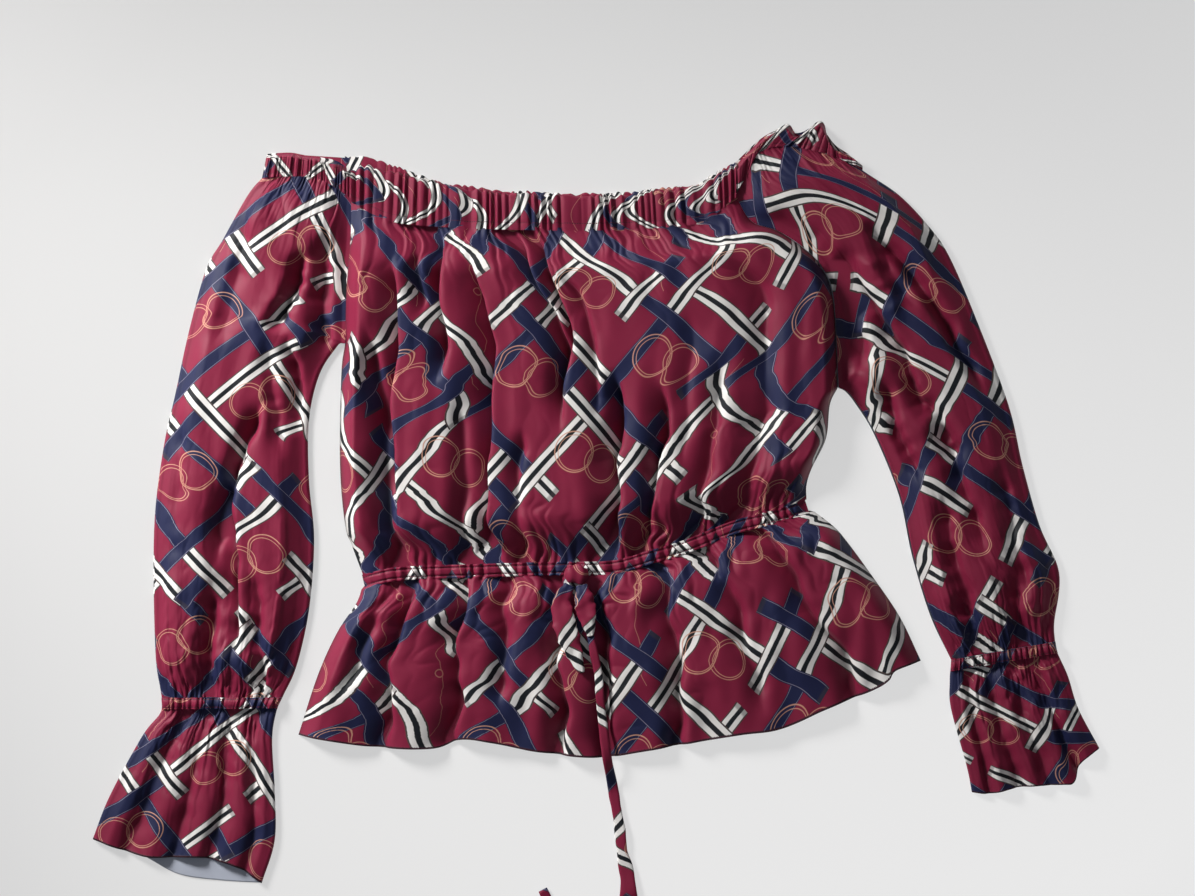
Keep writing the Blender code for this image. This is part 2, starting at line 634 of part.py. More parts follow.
def height_under(grids, x, y, reach):
    """The highest point of the cloth within reach of a place in plan."""
    highest = 0.0
    shares = [step / 3 for step in range(4)]
    for grid in grids:
        for above, below in zip(grid, grid[1:]):
            for a, b, c, d in zip(above, above[1:], below, below[1:]):
                corners = [cell[0] for cell in (a, b, c, d)]
                if not min(p[0] for p in corners) - reach < x < max(p[0] for p in corners) + reach:
                    continue
                for u in shares:
                    for v in shares:
                        spot = [(1 - v) * ((1 - u) * p + u * q) + v * ((1 - u) * r + u * s)
                                for p, q, r, s in zip(*corners)]
                        if hypot(spot[0] - x, spot[1] - y) < reach:
                            highest = max(highest, spot[2])
    return highest


def add_loop(name, places, cloth):
    """A flat folded loop of the tie: a rounded strap whose width swells and narrows."""
    rings = []
    for index, spot in enumerate(places):
        before, after = places[max(index - 1, 0)], places[min(index + 1, len(places) - 1)]
        run = Vector((after.x - before.x, after.y - before.y)).normalized()
        side = Vector((-run.y, run.x))
        low = height_under(cloth, spot.x, spot.y, spot.width / 2 + 5.0) + SEAM_GAP
        half, thick = spot.width / 2, LOOP_THICK
        profile = [(-half, 0.5), (-half * 0.75, 0.0), (half * 0.75, 0.0), (half, 0.5),
                   (half * 0.6, 0.9), (0.0, 1.0), (-half * 0.6, 0.9)]
        rings.append([(spot.x + side.x * w, spot.y + side.y * w, low + thick * h) for w, h in profile])
    count = len(rings[0])
    vertices = [point for ring in rings for point in ring]
    faces = []
    for ring in range(len(rings) - 1):
        for step in range(count):
            a, b = ring * count + step, ring * count + (step + 1) % count
            faces += [(a, b, b + count), (a, b + count, a + count)]
    last = (len(rings) - 1) * count
    for step in range(1, count - 1):
        faces += [(0, step + 1, step), (last, last + step, last + step + 1)]
    new_object(name, vertices, faces, STRIPE if name.endswith("right") else BURGUNDY)


def add_knot(cloth):
    low = height_under(cloth, *KNOT_PLACE, 10.0) + SEAM_GAP
    bpy.ops.mesh.primitive_uv_sphere_add(segments=12, ring_count=8, radius=0.5)
    knot = bpy.context.object
    knot.name = knot.data.name = "bow_knot"
    knot.scale = [size * MM for size in KNOT_SIZE]
    knot.location = [KNOT_PLACE[0] * MM, KNOT_PLACE[1] * MM, (low + KNOT_SIZE[2] / 2) * MM]
    bpy.ops.object.transform_apply(location=False, rotation=False, scale=True)
    knot.data.shade_smooth()
    material = bpy.data.materials.new("bow knot cloth")
    material.use_nodes = True
    material.node_tree.nodes["Principled BSDF"].inputs["Base Color"].default_value = (*NAVY, 1.0)
    material.node_tree.nodes["Principled BSDF"].inputs["Roughness"].default_value = CLOTH_ROUGHNESS
    knot.data.materials.append(material)


def add_tail(cloth):
    route = line_through(TAIL_ROUTE)
    count = round(route.length / TAIL_STEP)
    heights = []
    for step in range(count + 1):
        x, y = route(step / count)
        heights.append(height_under(cloth, x, y, TAIL_RADIUS + 3.0))
    curve = bpy.data.curves.new("tie_tail", "CURVE")
    curve.dimensions = "3D"
    curve.bevel_depth = TAIL_RADIUS * MM
    curve.bevel_resolution = 2
    curve.use_fill_caps = True
    spline = curve.splines.new("POLY")
    spline.points.add(count)
    for step in range(count + 1):
        x, y = route(step / count)
        z = max(heights[max(step - 1, 0):step + 2]) + TAIL_RADIUS + SEAM_GAP
        spline.points[step].co = (x * MM, y * MM, z * MM, 1.0)
    tail = bpy.data.objects.new("tie_tail", curve)
    bpy.context.scene.collection.objects.link(tail)
    material = bpy.data.materials.new("tie tail cloth")
    material.use_nodes = True
    material.node_tree.nodes["Principled BSDF"].inputs["Base Color"].default_value = (*BURGUNDY, 1.0)
    material.node_tree.nodes["Principled BSDF"].inputs["Roughness"].default_value = CLOTH_ROUGHNESS
    curve.materials.append(material)


def main():
    for old in list(bpy.data.objects):
        bpy.data.objects.remove(old)
    add_bodice()
    add_neck_casing()
    waist = add_waist_casing()
    peplum = add_peplum()
    add_shoulder_casing("right", RIGHT_SHOULDER_FRONT, RIGHT_SHOULDER_BACK, RIGHT_SHOULDER_SEAM,
                        FRONT_NECK_TOP[0], BACK_NECK_TOP[0])
    add_shoulder_casing("left", LEFT_SHOULDER_FRONT, LEFT_SHOULDER_BACK, LEFT_SHOULDER_SEAM,
                        FRONT_NECK_TOP[-1], BACK_NECK_TOP[-1])
    add_sleeve("right", RIGHT_RAGLAN, RIGHT_UNDERARM, 0.28, RIGHT_ARMPIT, RIGHT_SHOULDER_SEAM,
               RIGHT_SLEEVE_OUTER, [RIGHT_UNDERARM[-1], RIGHT_SLEEVE_OUTER[-1]], RIGHT_SLEEVE_FOLDS)
    add_sleeve("left", LEFT_RAGLAN, LEFT_UNDERARM, 0.42, LEFT_ARMPIT, LEFT_SHOULDER_SEAM,
               LEFT_SLEEVE_OUTER, [LEFT_UNDERARM[-1], LEFT_SLEEVE_OUTER[-1]], LEFT_SLEEVE_FOLDS)
    add_wrist_and_cuff("right", RIGHT_CUFF_OUTER, RIGHT_CUFF_INNER,
                       [RIGHT_UNDERARM[-1], RIGHT_SLEEVE_OUTER[-1]], RIGHT_HEM_UPPER, RIGHT_HEM_UNDER)
    add_wrist_and_cuff("left", LEFT_CUFF_OUTER, LEFT_CUFF_INNER,
                       [LEFT_UNDERARM[-1], LEFT_SLEEVE_OUTER[-1]], LEFT_HEM_UPPER, LEFT_HEM_UNDER)
    cloth = [waist, peplum]
    add_knot(cloth)
    add_loop("bow_loop_right", RIGHT_LOOP, cloth)
    add_loop("bow_loop_left", LEFT_LOOP, cloth)
    add_tail(cloth)


main()
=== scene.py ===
"""Looks of a printed off-shoulder blouse that lies flat, front up.

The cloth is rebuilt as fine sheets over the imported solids, with its folds, gathers and print.
Tables of lines and folds are in millimetres, in the frame of the part: the neckline is towards +Y,
the wearer's right sleeve is at -X, and the surface it lies on is z = 0.
"""

from collections import namedtuple
from math import cos, hypot, pi, radians, sin

import bpy
import numpy as np
from bpy.props import FloatProperty, FloatVectorProperty, IntProperty, PointerProperty
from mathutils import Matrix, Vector


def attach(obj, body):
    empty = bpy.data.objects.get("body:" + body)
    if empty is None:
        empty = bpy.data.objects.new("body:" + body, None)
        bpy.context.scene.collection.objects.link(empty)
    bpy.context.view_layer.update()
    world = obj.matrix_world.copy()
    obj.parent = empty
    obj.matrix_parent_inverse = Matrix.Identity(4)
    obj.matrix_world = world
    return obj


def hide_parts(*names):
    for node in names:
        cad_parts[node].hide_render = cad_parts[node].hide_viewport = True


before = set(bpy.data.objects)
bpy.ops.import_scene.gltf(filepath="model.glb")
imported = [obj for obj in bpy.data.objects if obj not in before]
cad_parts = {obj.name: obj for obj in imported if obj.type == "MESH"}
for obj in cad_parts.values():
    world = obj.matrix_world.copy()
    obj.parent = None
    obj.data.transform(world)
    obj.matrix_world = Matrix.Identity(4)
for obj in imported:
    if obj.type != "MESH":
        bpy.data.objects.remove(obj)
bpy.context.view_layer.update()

bl_info = {
    "name": "Flat laid blouse",
    "version": (1, 0, 0),
    "blender": (4, 5, 0),
    "location": "View3D > Sidebar > Blouse",
    "description": "Builds the cloth, print, bow and stage of an off-shoulder blouse",
    "category": "Object",
}

MM = 0.001

# Seams and edges: x, y of the points that shape each line
NECK_SEAM = [(-188, 233), (-170, 223), (-147, 216), (-82, 212), (3, 211), (72, 215), (89, 222), (107, 236)]
FRONT_NECK_TOP = [(-188, 254), (-175, 258), (-159, 254), (-124, 246), (-101, 241), (-66, 237),
                  (3, 235), (49, 239), (72, 242), (89, 249), (107, 259)]
BACK_NECK_TOP = [(-193, 265), (-176, 265), (-159, 260), (-124, 247), (-101, 243), (-66, 239),
                 (3, 237), (49, 241), (72, 243), (89, 251), (107, 261)]
RIGHT_RAGLAN = [(-188, 233), (-189, 202), (-192, 163), (-193, 122)]
LEFT_RAGLAN = [(107, 236), (119, 216), (138, 209), (157, 197), (172, 182), (182, 156), (186, 88)]
RIGHT_SIDE = [(-193, 122), (-196, 98), (-197, 28), (-193, -18), (-188, -33), (-179, -57)]
LEFT_SIDE = [(186, 88), (180, 75), (177, 49), (166, 26), (162, 13), (162, 2)]
WAIST = [(-179, -61), (-152, -55), (-102, -53), (-38, -51), (12, -50), (42, -42), (72, -33),
         (104, -20), (134, -12), (162, -3)]
RIGHT_PEPLUM_SIDE = [(-179, -61), (-184, -77), (-199, -100), (-214, -133), (-229, -179)]
LEFT_PEPLUM_SIDE = [(162, -3), (182, -18), (192, -29), (209, -52), (233, -87), (250, -122)]
FRONT_HEM = [(-229, -179), (-205, -183), (-170, -188), (-124, -189), (-103, -182), (-78, -185),
             (-43, -192), (3, -196), (38, -191), (107, -179), (142, -174), (176, -159),
             (211, -145), (224, -137), (230, -129), (250, -122)]
RIGHT_SHOULDER_FRONT = [(-188, 254), (-201, 263), (-224, 267), (-236, 269), (-253, 268)]
RIGHT_SHOULDER_BACK = [(-193, 265), (-209, 266), (-224, 267), (-236, 269), (-253, 268)]
RIGHT_SHOULDER_SEAM = [(-188, 233), (-201, 242), (-216, 249), (-236, 250), (-257, 249)]
LEFT_SHOULDER_FRONT = [(107, 259), (126, 278), (138, 286), (148, 291), (155, 282), (163, 287),
                       (174, 293), (181, 274), (194, 267), (205, 259)]
LEFT_SHOULDER_BACK = [(107, 261), (126, 279), (140, 286), (155, 284), (172, 288), (184, 275),
                      (194, 268), (205, 259)]
LEFT_SHOULDER_SEAM = [(107, 236), (116, 251), (125, 268), (142, 273), (161, 271), (183, 265), (205, 255)]
RIGHT_SLEEVE_OUTER = [(-257, 249), (-268, 236), (-287, 202), (-300, 179), (-313, 132), (-323, 86),
                      (-333, 40), (-340, -22), (-339, -114), (-334, -150)]
RIGHT_UNDERARM = [(-193, 122), (-200, 120), (-214, 98), (-222, 63), (-222, 17), (-218, -29),
                  (-222, -83), (-232, -128), (-241, -150)]
LEFT_SLEEVE_OUTER = [(205, 255), (232, 236), (254, 213), (270, 190), (290, 144), (316, 75),
                     (327, 28), (340, -18), (355, -54), (352, -91), (353, -107)]
LEFT_UNDERARM = [(186, 88), (192, 85), (200, 75), (214, 52), (233, 5), (243, -41), (257, -87), (273, -121)]
RIGHT_CUFF_OUTER = [(-334, -150), (-335, -162), (-349, -180), (-374, -226), (-387, -259)]
RIGHT_CUFF_INNER = [(-241, -150), (-246, -162), (-249, -183), (-247, -222), (-247, -260), (-257, -293)]
RIGHT_HEM_UPPER = [(-257, -293), (-277, -280), (-305, -273), (-347, -272), (-387, -259)]
RIGHT_HEM_UNDER = [(-257, -293), (-290, -291), (-322, -286), (-351, -271), (-387, -259)]
LEFT_CUFF_OUTER = [(353, -107), (355, -116), (363, -134), (371, -159), (387, -189)]
LEFT_CUFF_INNER = [(273, -121), (272, -138), (273, -159), (285, -203), (289, -223)]
LEFT_HEM_UPPER = [(289, -223), (303, -224), (326, -219), (357, -217), (367, -215), (373, -200), (387, -189)]
LEFT_HEM_UNDER = [(289, -223), (319, -219), (357, -207), (373, -198), (387, -189)]
RIGHT_ARMPIT = 0.38
LEFT_ARMPIT = 0.67

# Main folds, as valleys (depth below zero) and ridges. across and along run from 0 to 1 over the
# piece. left and right are half widths in mm.
Fold = namedtuple("Fold", "across along to_across to_along bend depth left right")
BODY_FOLDS = [
    Fold(0.045, 0.30, 0.085, 1.00, 0.01, -10.8, 6.6, 6.8),
    Fold(0.107, 0.08, 0.100, 0.92, 0.00, -13.2, 9.9, 3.0),
    Fold(0.155, 0.00, 0.160, 0.30, 0.00, -7.2, 5.3, 4.2),
    Fold(0.213, 0.00, 0.190, 0.50, 0.00, -12.0, 7.3, 4.2),
    Fold(0.245, 0.50, 0.225, 1.00, 0.00, -7.2, 5.9, 6.8),
    Fold(0.300, 0.06, 0.288, 1.00, 0.00, -15.6, 13.2, 2.7),
    Fold(0.360, 0.60, 0.355, 1.00, 0.00, -6.0, 5.9, 5.1),
    Fold(0.408, 0.00, 0.445, 0.65, 0.00, -12.0, 7.3, 3.4),
    Fold(0.455, 0.00, 0.452, 0.50, 0.00, -12.0, 5.3, 3.0),
    Fold(0.505, 0.15, 0.500, 0.62, 0.00, -7.2, 5.9, 4.2),
    Fold(0.550, 0.45, 0.536, 1.00, 0.00, -15.6, 9.2, 5.1),
    Fold(0.640, 0.50, 0.620, 1.00, 0.00, -9.6, 6.6, 4.2),
    Fold(0.700, 0.30, 0.690, 0.80, 0.00, -4.2, 7.9, 8.5),
    Fold(0.745, 0.45, 0.740, 1.00, 0.00, -7.2, 7.9, 6.8),
    Fold(0.860, 0.15, 0.830, 1.00, 0.00, -8.4, 10.6, 10.2),
]
PEPLUM_FOLDS = [
    Fold(0.070, 0.00, 0.050, 0.80, 0.00, -6.0, 5.9, 6.0),
    Fold(0.105, 0.00, 0.130, 1.00, 0.00, -9.6, 8.6, 3.8),
    Fold(0.218, 0.00, 0.245, 1.00, 0.00, -10.8, 9.9, 3.8),
    Fold(0.310, 0.00, 0.320, 0.85, 0.00, -7.2, 6.6, 6.0),
    Fold(0.420, 0.00, 0.410, 1.00, 0.00, -10.8, 8.6, 4.2),
    Fold(0.505, 0.05, 0.480, 1.00, 0.00, -10.8, 7.3, 5.1),
    Fold(0.640, 0.00, 0.595, 1.00, 0.00, -10.2, 9.9, 4.7),
    Fold(0.740, 0.00, 0.730, 0.95, 0.01, -7.2, 7.9, 6.8),
    Fold(0.860, 0.00, 0.880, 1.00, 0.00, -9.0, 9.2, 5.1),
]

# Creases of the sleeves: a line from one place to another in mm, sideways bend, depth and half widths.
# A crease that runs down has its left width towards -X.
Crease = namedtuple("Crease", "x y to_x to_y bend depth left right")
RIGHT_SLEEVE_CREASES = [
    Crease(-224, 190, -246, 134, 3, -12.0, 6.0, 5.6),
    Crease(-207, 200, -207, 112, -3, -11.0, 7.5, 6.4),
    Crease(-232, 176, -262, 128, 0, 3.0, 6.8, 7.2),
    Crease(-234, 122, -229, 55, 3, -10.0, 6.8, 4.0),
    Crease(-250, 118, -240, 40, 0, -5.0, 6.0, 6.4),
    Crease(-256, 72, -290, -40, -4, -11.0, 6.8, 4.0),
    Crease(-281, 6, -276, -112, 3, -12.0, 13.5, 3.2),
    Crease(-294, -70, -298, -155, 0, -9.0, 7.5, 5.6),
    Crease(-258, -60, -256, -150, 0, -7.0, 6.8, 4.8),
    Crease(-268, 215, -290, 120, 4, -5.0, 10.5, 8.0),
    Crease(-316, 60, -322, -60, 0, -4.0, 9.0, 7.2),
]
LEFT_SLEEVE_CREASES = [
    Crease(138, 214, 196, 150, 6, -13.0, 12.0, 10.4),
    Crease(190, 190, 203, 100, 2, -13.0, 9.0, 9.6),
    Crease(212, 212, 246, 150, -3, -5.0, 6.8, 7.2),
    Crease(218, 205, 296, 88, 4, -11.0, 3.8, 7.2),
    Crease(186, 178, 250, 72, 10, -12.0, 9.0, 4.0),
    Crease(204, 186, 232, 140, 6, 3.0, 6.0, 6.4),
    Crease(246, 84, 280, 34, 3, -9.0, 7.5, 5.6),
    Crease(222, 90, 250, 20, -4, -10.0, 6.0, 6.4),
    Crease(262, 56, 300, -40, 4, -8.0, 9.0, 4.8),
    Crease(268, 0, 292, -90, -3, -8.0, 9.0, 5.6),
    Crease(312, 20, 332, -70, 0, -7.0, 8.2, 6.4),
    Crease(280, -76, 304, -134, 0, -9.0, 7.5, 6.4),
    Crease(322, -60, 330, -130, 0, -8.0, 6.8, 5.6),
]
CUFF_FOLDS = [
    Fold(0.18, 0.00, 0.12, 1.00, 0.00, -6.5, 8, 6),
    Fold(0.36, 0.00, 0.33, 1.00, 0.00, -7.2, 8, 6),
    Fold(0.56, 0.00, 0.54, 1.00, 0.00, -6.5, 9, 7),
    Fold(0.76, 0.00, 0.80, 1.00, 0.00, -7.2, 9, 7),
]

# The bow: x, y and width of each place along its loops, and the route of the tail as the part has it
Strap = namedtuple("Strap", "x y width")
KNOT_PLACE = (-15, -55)
KNOT_SIZE = (19, 15, 8)
RIGHT_LOOP = [Strap(-20, -63, 8), Strap(-26, -76, 15), Strap(-24, -92, 18), Strap(-19, -108, 17),
              Strap(-14, -122, 12), Strap(-11, -130, 5)]
LEFT_LOOP = [Strap(-11, -63, 8), Strap(-9, -74, 15), Strap(-7, -86, 16), Strap(-5, -96, 11),
             Strap(-4, -102, 5)]
TAIL_ROUTE = [(-4, -102.4), (-1, -118), (2, -133), (3, -149), (5, -168), (7, -185), (9, -199), (12, -214),
              (15, -232), (18, -249), (20, -268), (24, -287), (25, -303), (25, -318), (19, -333),
              (5, -342), (-10, -339), (-24, -326), (-34, -312), (-41, -298)]
TAIL_WIDTHS = [5.5, 6.5, 7, 7, 6.5, 7, 8, 9, 7.5, 8, 8.5, 12, 14, 12, 9, 8, 8, 8.5, 8, 7]


# Sizes and colours that a user may change

class BlouseSettings(bpy.types.PropertyGroup):
    neck_height: FloatProperty(name="Neck height", description="Top of the gathered neckline",
                               default=0.0085, unit="LENGTH")
    body_height: FloatProperty(name="Body height", description="Top of the front between its folds",
                               default=0.0200, unit="LENGTH")
    peplum_height: FloatProperty(name="Peplum height", description="Top of the peplum between its folds",
                                 default=0.0150, unit="LENGTH")
    sleeve_height: FloatProperty(name="Sleeve height", description="Top of a sleeve between its folds",
                                 default=0.0150, unit="LENGTH")
    pucker: FloatProperty(name="Pucker", description="Depth of the gathers on the elastics",
                          default=0.0017, unit="LENGTH")
    neck_gathers: IntProperty(name="Neck gathers", description="Gathers along the front neckline",
                              default=42)
    waist_gathers: IntProperty(name="Waist gathers", description="Gathers along the front waist",
                               default=38)
    wrist_gathers: IntProperty(name="Wrist gathers", description="Gathers across one wrist", default=11)


class PrintSettings(bpy.types.PropertyGroup):
    repeat: FloatProperty(name="Repeat", description="Distance between two pairs of ribbons of the print",
                          default=0.090, unit="LENGTH")
    pair_gap: FloatProperty(name="Pair gap", description="Half the distance between the ribbons of a pair",
                            default=0.0145, unit="LENGTH")
    ribbon: FloatProperty(name="Ribbon", description="Width of a striped ribbon of the print",
                          default=0.0130, unit="LENGTH")
    ring: FloatProperty(name="Ring", description="Radius of a printed ring", default=0.0150, unit="LENGTH")
    ground: FloatVectorProperty(name="Ground", description="Colour of the ground", subtype="COLOR",
                                size=4, default=(0.215, 0.010, 0.042, 1.0))
    navy: FloatVectorProperty(name="Navy", description="Colour of the plain ribbons", subtype="COLOR",
                              size=4, default=(0.011, 0.015, 0.060, 1.0))
    white: FloatVectorProperty(name="White", description="Colour of the pale stripes", subtype="COLOR",
                               size=4, default=(0.80, 0.78, 0.76, 1.0))
    black: FloatVectorProperty(name="Black", description="Colour of the dark stripes", subtype="COLOR",
                               size=4, default=(0.008, 0.010, 0.014, 1.0))
    gold: FloatVectorProperty(name="Gold", description="Colour of the thin rings", subtype="COLOR",
                              size=4, default=(0.62, 0.32, 0.22, 1.0))
    reverse: FloatVectorProperty(name="Reverse", description="Colour of the reverse of the cloth",
                                 subtype="COLOR", size=4, default=(0.52, 0.56, 0.66, 1.0))


class StageSettings(bpy.types.PropertyGroup):
    camera_height: FloatProperty(name="Camera height", description="Height of the camera over the floor",
                                 default=2.2, unit="LENGTH")
    view_width: FloatProperty(name="View width", description="Width of the floor that the photograph shows",
                              default=0.92, unit="LENGTH")


# Lines through points, read by arrays of shares of their length

def ease(value):
    value = np.clip(value, 0.0, 1.0)
    return value * value * (3.0 - 2.0 * value)


def line_through(points, steps=8):
    points = np.array(points, float)
    padded = np.vstack([2 * points[0] - points[1], points, 2 * points[-1] - points[-2]])
    dense = []
    for p0, p1, p2, p3 in zip(padded, padded[1:], padded[2:], padded[3:]):
        for step in range(steps):
            s = step / steps
            bend = (2 * p0 - 5 * p1 + 4 * p2 - p3) * s * s + (3 * p1 - p0 - 3 * p2 + p3) * s ** 3
            dense.append(p1 + 0.5 * ((p2 - p0) * s + bend))
    dense.append(points[-1])
    dense = np.array(dense)
    reached = np.concatenate([[0.0], np.cumsum(np.hypot(*np.diff(dense, axis=0).T))])

    def at(share):
        target = np.clip(share, 0.0, 1.0) * reached[-1]
        x, y = (np.interp(target, reached, dense[:, axis]) for axis in (0, 1))
        return np.stack([x, y], -1)

    at.length = reached[-1]
    return at


def joined(first, second, share):
    def at(value):
        value = np.asarray(value, float)
        early = (value <= share)[..., None]
        return np.where(early, first(value / share), second((value - share) / (1.0 - share)))
    return at


def part_of(line, start, end):
    return lambda share: line(start + (end - start) * np.asarray(share, float))


def beside(line, distance):
    def at(share):
        share = np.asarray(share, float)
        run = line(share + 0.01) - line(share - 0.01)
        size = np.linalg.norm(run, axis=-1, keepdims=True)
        return line(share) + np.stack([-run[..., 1], run[..., 0]], -1) / size * distance
    return at


def patch(top, bottom, left, right):
    def at(across, along):
        u, v = across[..., None], along[..., None]
        ruled = (1 - v) * top(across) + v * bottom(across) + (1 - u) * left(along) + u * right(along)
        corners = (1 - v) * ((1 - u) * top(0.0) + u * top(1.0))
        corners = corners + v * ((1 - u) * bottom(0.0) + u * bottom(1.0))
        return ruled - corners
    return at


# Heights

def wander(values, seed, octaves=3):
    """A smooth uneven curve between about -1 and 1, the same each time for a seed."""
    random = np.random.default_rng(seed)
    total = np.zeros_like(np.asarray(values, float))
    for octave in range(octaves):
        rate = (octave + 1) * (1.0 + 0.6 * random.random())
        total = total + np.sin(2 * pi * (values * rate + random.random())) / (octave + 1)
    return total / 1.6


def fold_height(folds, across, along, width):
    total = np.zeros_like(across)
    for number, fold in enumerate(folds):
        run = (along - fold.along) / (fold.to_along - fold.along)
        middle = fold.across + (fold.to_across - fold.across) * run + fold.bend * 4 * run * (1 - run)
        middle = middle + 0.008 * wander(along * 1.3, 11 + number)
        off = (across - middle) * width
        half = np.where(off < 0, fold.left, fold.right)
        fade = np.where((run >= 0) & (run <= 1), 1.0, 0.0)
        if fold.along > 0.01:
            fade = fade * ease(run / 0.2)
        if fold.to_along < 0.99:
            fade = fade * ease((1 - run) / 0.25)
        uneven = 1.0 + 0.18 * wander(along * 1.7, 31 + number)
        total += fold.depth * uneven * np.exp(-np.abs(off / half) ** 1.5) * fade
    return total


def crease_height(creases, flat):
    """Creases in plan, each fading in and out along its own line."""
    total = np.zeros(flat.shape[:-1])
    for number, crease in enumerate(creases):
        run_x, run_y = crease.to_x - crease.x, crease.to_y - crease.y
        length = hypot(run_x, run_y)
        from_x, from_y = flat[..., 0] - crease.x, flat[..., 1] - crease.y
        run = (from_x * run_x + from_y * run_y) / length ** 2
        off = (from_x * -run_y + from_y * run_x) / length
        off = off - crease.bend * 4 * run * (1 - run) - 1.2 * wander(run * 1.4, 51 + number)
        half = np.where(off < 0, crease.left, crease.right)
        fade = ease((run + 0.12) / 0.30) * ease((1.12 - run) / 0.34)
        uneven = 1.0 + 0.18 * wander(run * 1.9, 71 + number)
        total += crease.depth * uneven * np.exp(-np.abs(off / half) ** 1.6) * fade
    return total


def pleat(phase):
    """One gather for each whole step of phase: a round ridge between two narrow valleys."""
    return 2.0 * np.abs(np.cos(pi * phase)) ** 0.85 - 1.15


def gathers(across, distance, count, depth, seed, reach=20.0):
    """Gathers that leave a seam: many small pleats that run out, and join into fewer wide ones."""
    phase = across * count + 0.85 * wander(across * 2.3, seed) + 0.22 * wander(across * 9.0, seed + 1)
    uneven = 0.75 + 0.45 * wander(across * 5.1, seed + 2)
    reach_here = reach * (1.0 + 0.6 * wander(across * 6.3, seed + 3))
    reach_here = np.maximum(reach_here, reach * 0.35)
    drift = 0.4 * wander(distance / 70.0 + across * 2.0, seed + 4)
    small = pleat(phase + drift) * np.exp(-distance / reach_here)
    rise = ease(distance / 16.0)
    medium = pleat(phase / 2 + 0.2 + drift * 0.7) * np.exp(-distance / (reach_here * 2.2)) * rise
    wide = pleat(phase / 4 + 0.6 + drift * 0.5) * np.exp(-distance / (reach_here * 4.2)) * rise
    return depth * uneven * (small + 0.95 * medium + 1.1 * wide)


def crumple(x, y, seed, size=30.0, depth=0.5):
    """Low uneven waves, longer along y than across."""
    random = np.random.default_rng(seed)
    total = np.zeros_like(x)
    for wave in range(9):
        turn = random.normal(0.0, 0.35)
        rate = (1.0 + 0.9 * random.random()) * 2 * pi / size
        along_x = x * cos(turn) + y * sin(turn) * 0.4
        total += np.sin(along_x * rate + random.random() * 6.28 + 1.0 * np.sin(0.6 * y / size + wave))
    return total * depth / 3.0


# Meshes

# Painted shade in the folds: over how many mm a fold is compared with the cloth beside it, and at what
# depth a hollow gets the darkest painted shade
FOLD_SHADE_REACH = 7.0
FOLD_SHADE_DEPTH = 5.5
# A distance in mm that stands for no stitching or hem nearby
FAR = 99.0


def plain_marks(across):
    """Marks for a piece that has neither stitching nor a hem."""
    return {"stitch": np.full(across.shape, FAR), "hem": np.full(across.shape, FAR)}


def smoothed(values, reach):
    """The mean of each value and its neighbours along the row, up to reach places away."""
    padded = np.pad(values, ((0, 0), (reach + 1, reach)), mode="edge")
    sums = np.cumsum(padded, axis=1)
    return (sums[:, 2 * reach + 1:] - sums[:, :-2 * reach - 1]) / (2 * reach + 1)


def painted_fold_shade(points):
    """How deep each point lies in a fold, from 0 on a ridge to 1 in a deep valley: the strength of the
    shade painted into the folds.
    """
    step = np.linalg.norm(np.diff(points, axis=1), axis=-1).mean()
    reach = int(min(max(FOLD_SHADE_REACH / step, 1), points.shape[1] // 3))
    high = points[..., 2]
    low = smoothed(smoothed(high, reach), reach) - high
    return np.clip(low / FOLD_SHADE_DEPTH, 0.0, 1.0)


def mesh_from_grid(name, points, uv, up, marks=None):
    """A sheet from a grid of points in mm, with its print's coordinates and other marks."""
    rows, columns = points.shape[:2]
    index = np.arange(rows * columns).reshape(rows, columns)
    a, b = index[:-1, :-1].ravel(), index[:-1, 1:].ravel()
    c, d = index[1:, 1:].ravel(), index[1:, :-1].ravel()
    faces = np.stack([a, d, c, b], -1)
    flat = points.reshape(-1, 3)
    first = np.cross(flat[d] - flat[a], flat[c] - flat[a])[:, 2].reshape(rows - 1, columns - 1)
    facing = first[:, :columns // 2].sum() * (1 if up else -1)
    if facing < 0:
        faces = faces[:, ::-1]
    mesh = bpy.data.meshes.new(name)
    mesh.vertices.add(len(flat))
    mesh.vertices.foreach_set("co", (flat * MM).astype(np.float32).ravel())
    mesh.loops.add(faces.size)
    mesh.loops.foreach_set("vertex_index", faces.astype(np.int32).ravel())
    mesh.polygons.add(len(faces))
    mesh.polygons.foreach_set("loop_start", np.arange(0, faces.size, 4, dtype=np.int32))
    mesh.polygons.foreach_set("loop_total", np.full(len(faces), 4, dtype=np.int32))
    mesh.update(calc_edges=True)
    layer = mesh.uv_layers.new(name="cloth")
    layer.data.foreach_set("uv", (uv.reshape(-1, 2)[faces.ravel()] * MM).astype(np.float32).ravel())
    # The hollow mark is the strength of the painted shade in the folds
    for mark, values in {"hollow": painted_fold_shade(points), **(marks or {})}.items():
        attribute = mesh.attributes.new(mark, "FLOAT", "POINT")
        attribute.data.foreach_set("value", values.astype(np.float32).ravel())
    mesh.shade_smooth()
    mesh.validate()
    made = bpy.data.objects.new(name, mesh)
    bpy.context.scene.collection.objects.link(made)
    return made


def lean(points, high, amount):
    """Ridges lean over towards -X, so that folds lie on the cloth beside them."""
    points[..., 0] -= amount * high
    return points


def cloth_coordinates(points, along_length, stretch=1.0):
    """How far each point lies along the cloth: across by the length of its own row over the folds."""
    step = np.diff(points, axis=1)
    run = np.hypot(step[..., 0], step[..., 2]) * stretch
    reached = np.concatenate([np.zeros((points.shape[0], 1)), np.cumsum(run, axis=1)], axis=1)
    middle = points.shape[1] // 2
    across = reached - reached[:, middle:middle + 1] + points[:, middle, 0][:, None]
    return np.stack([across, along_length], -1)


def finish_piece(piece, nodes, material):
    piece.data.materials.clear()
    for one in material if isinstance(material, (list, tuple)) else [material]:
        piece.data.materials.append(one)
    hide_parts(*nodes)
    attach(piece, "root")


# Shape of the body, read by the pieces that meet

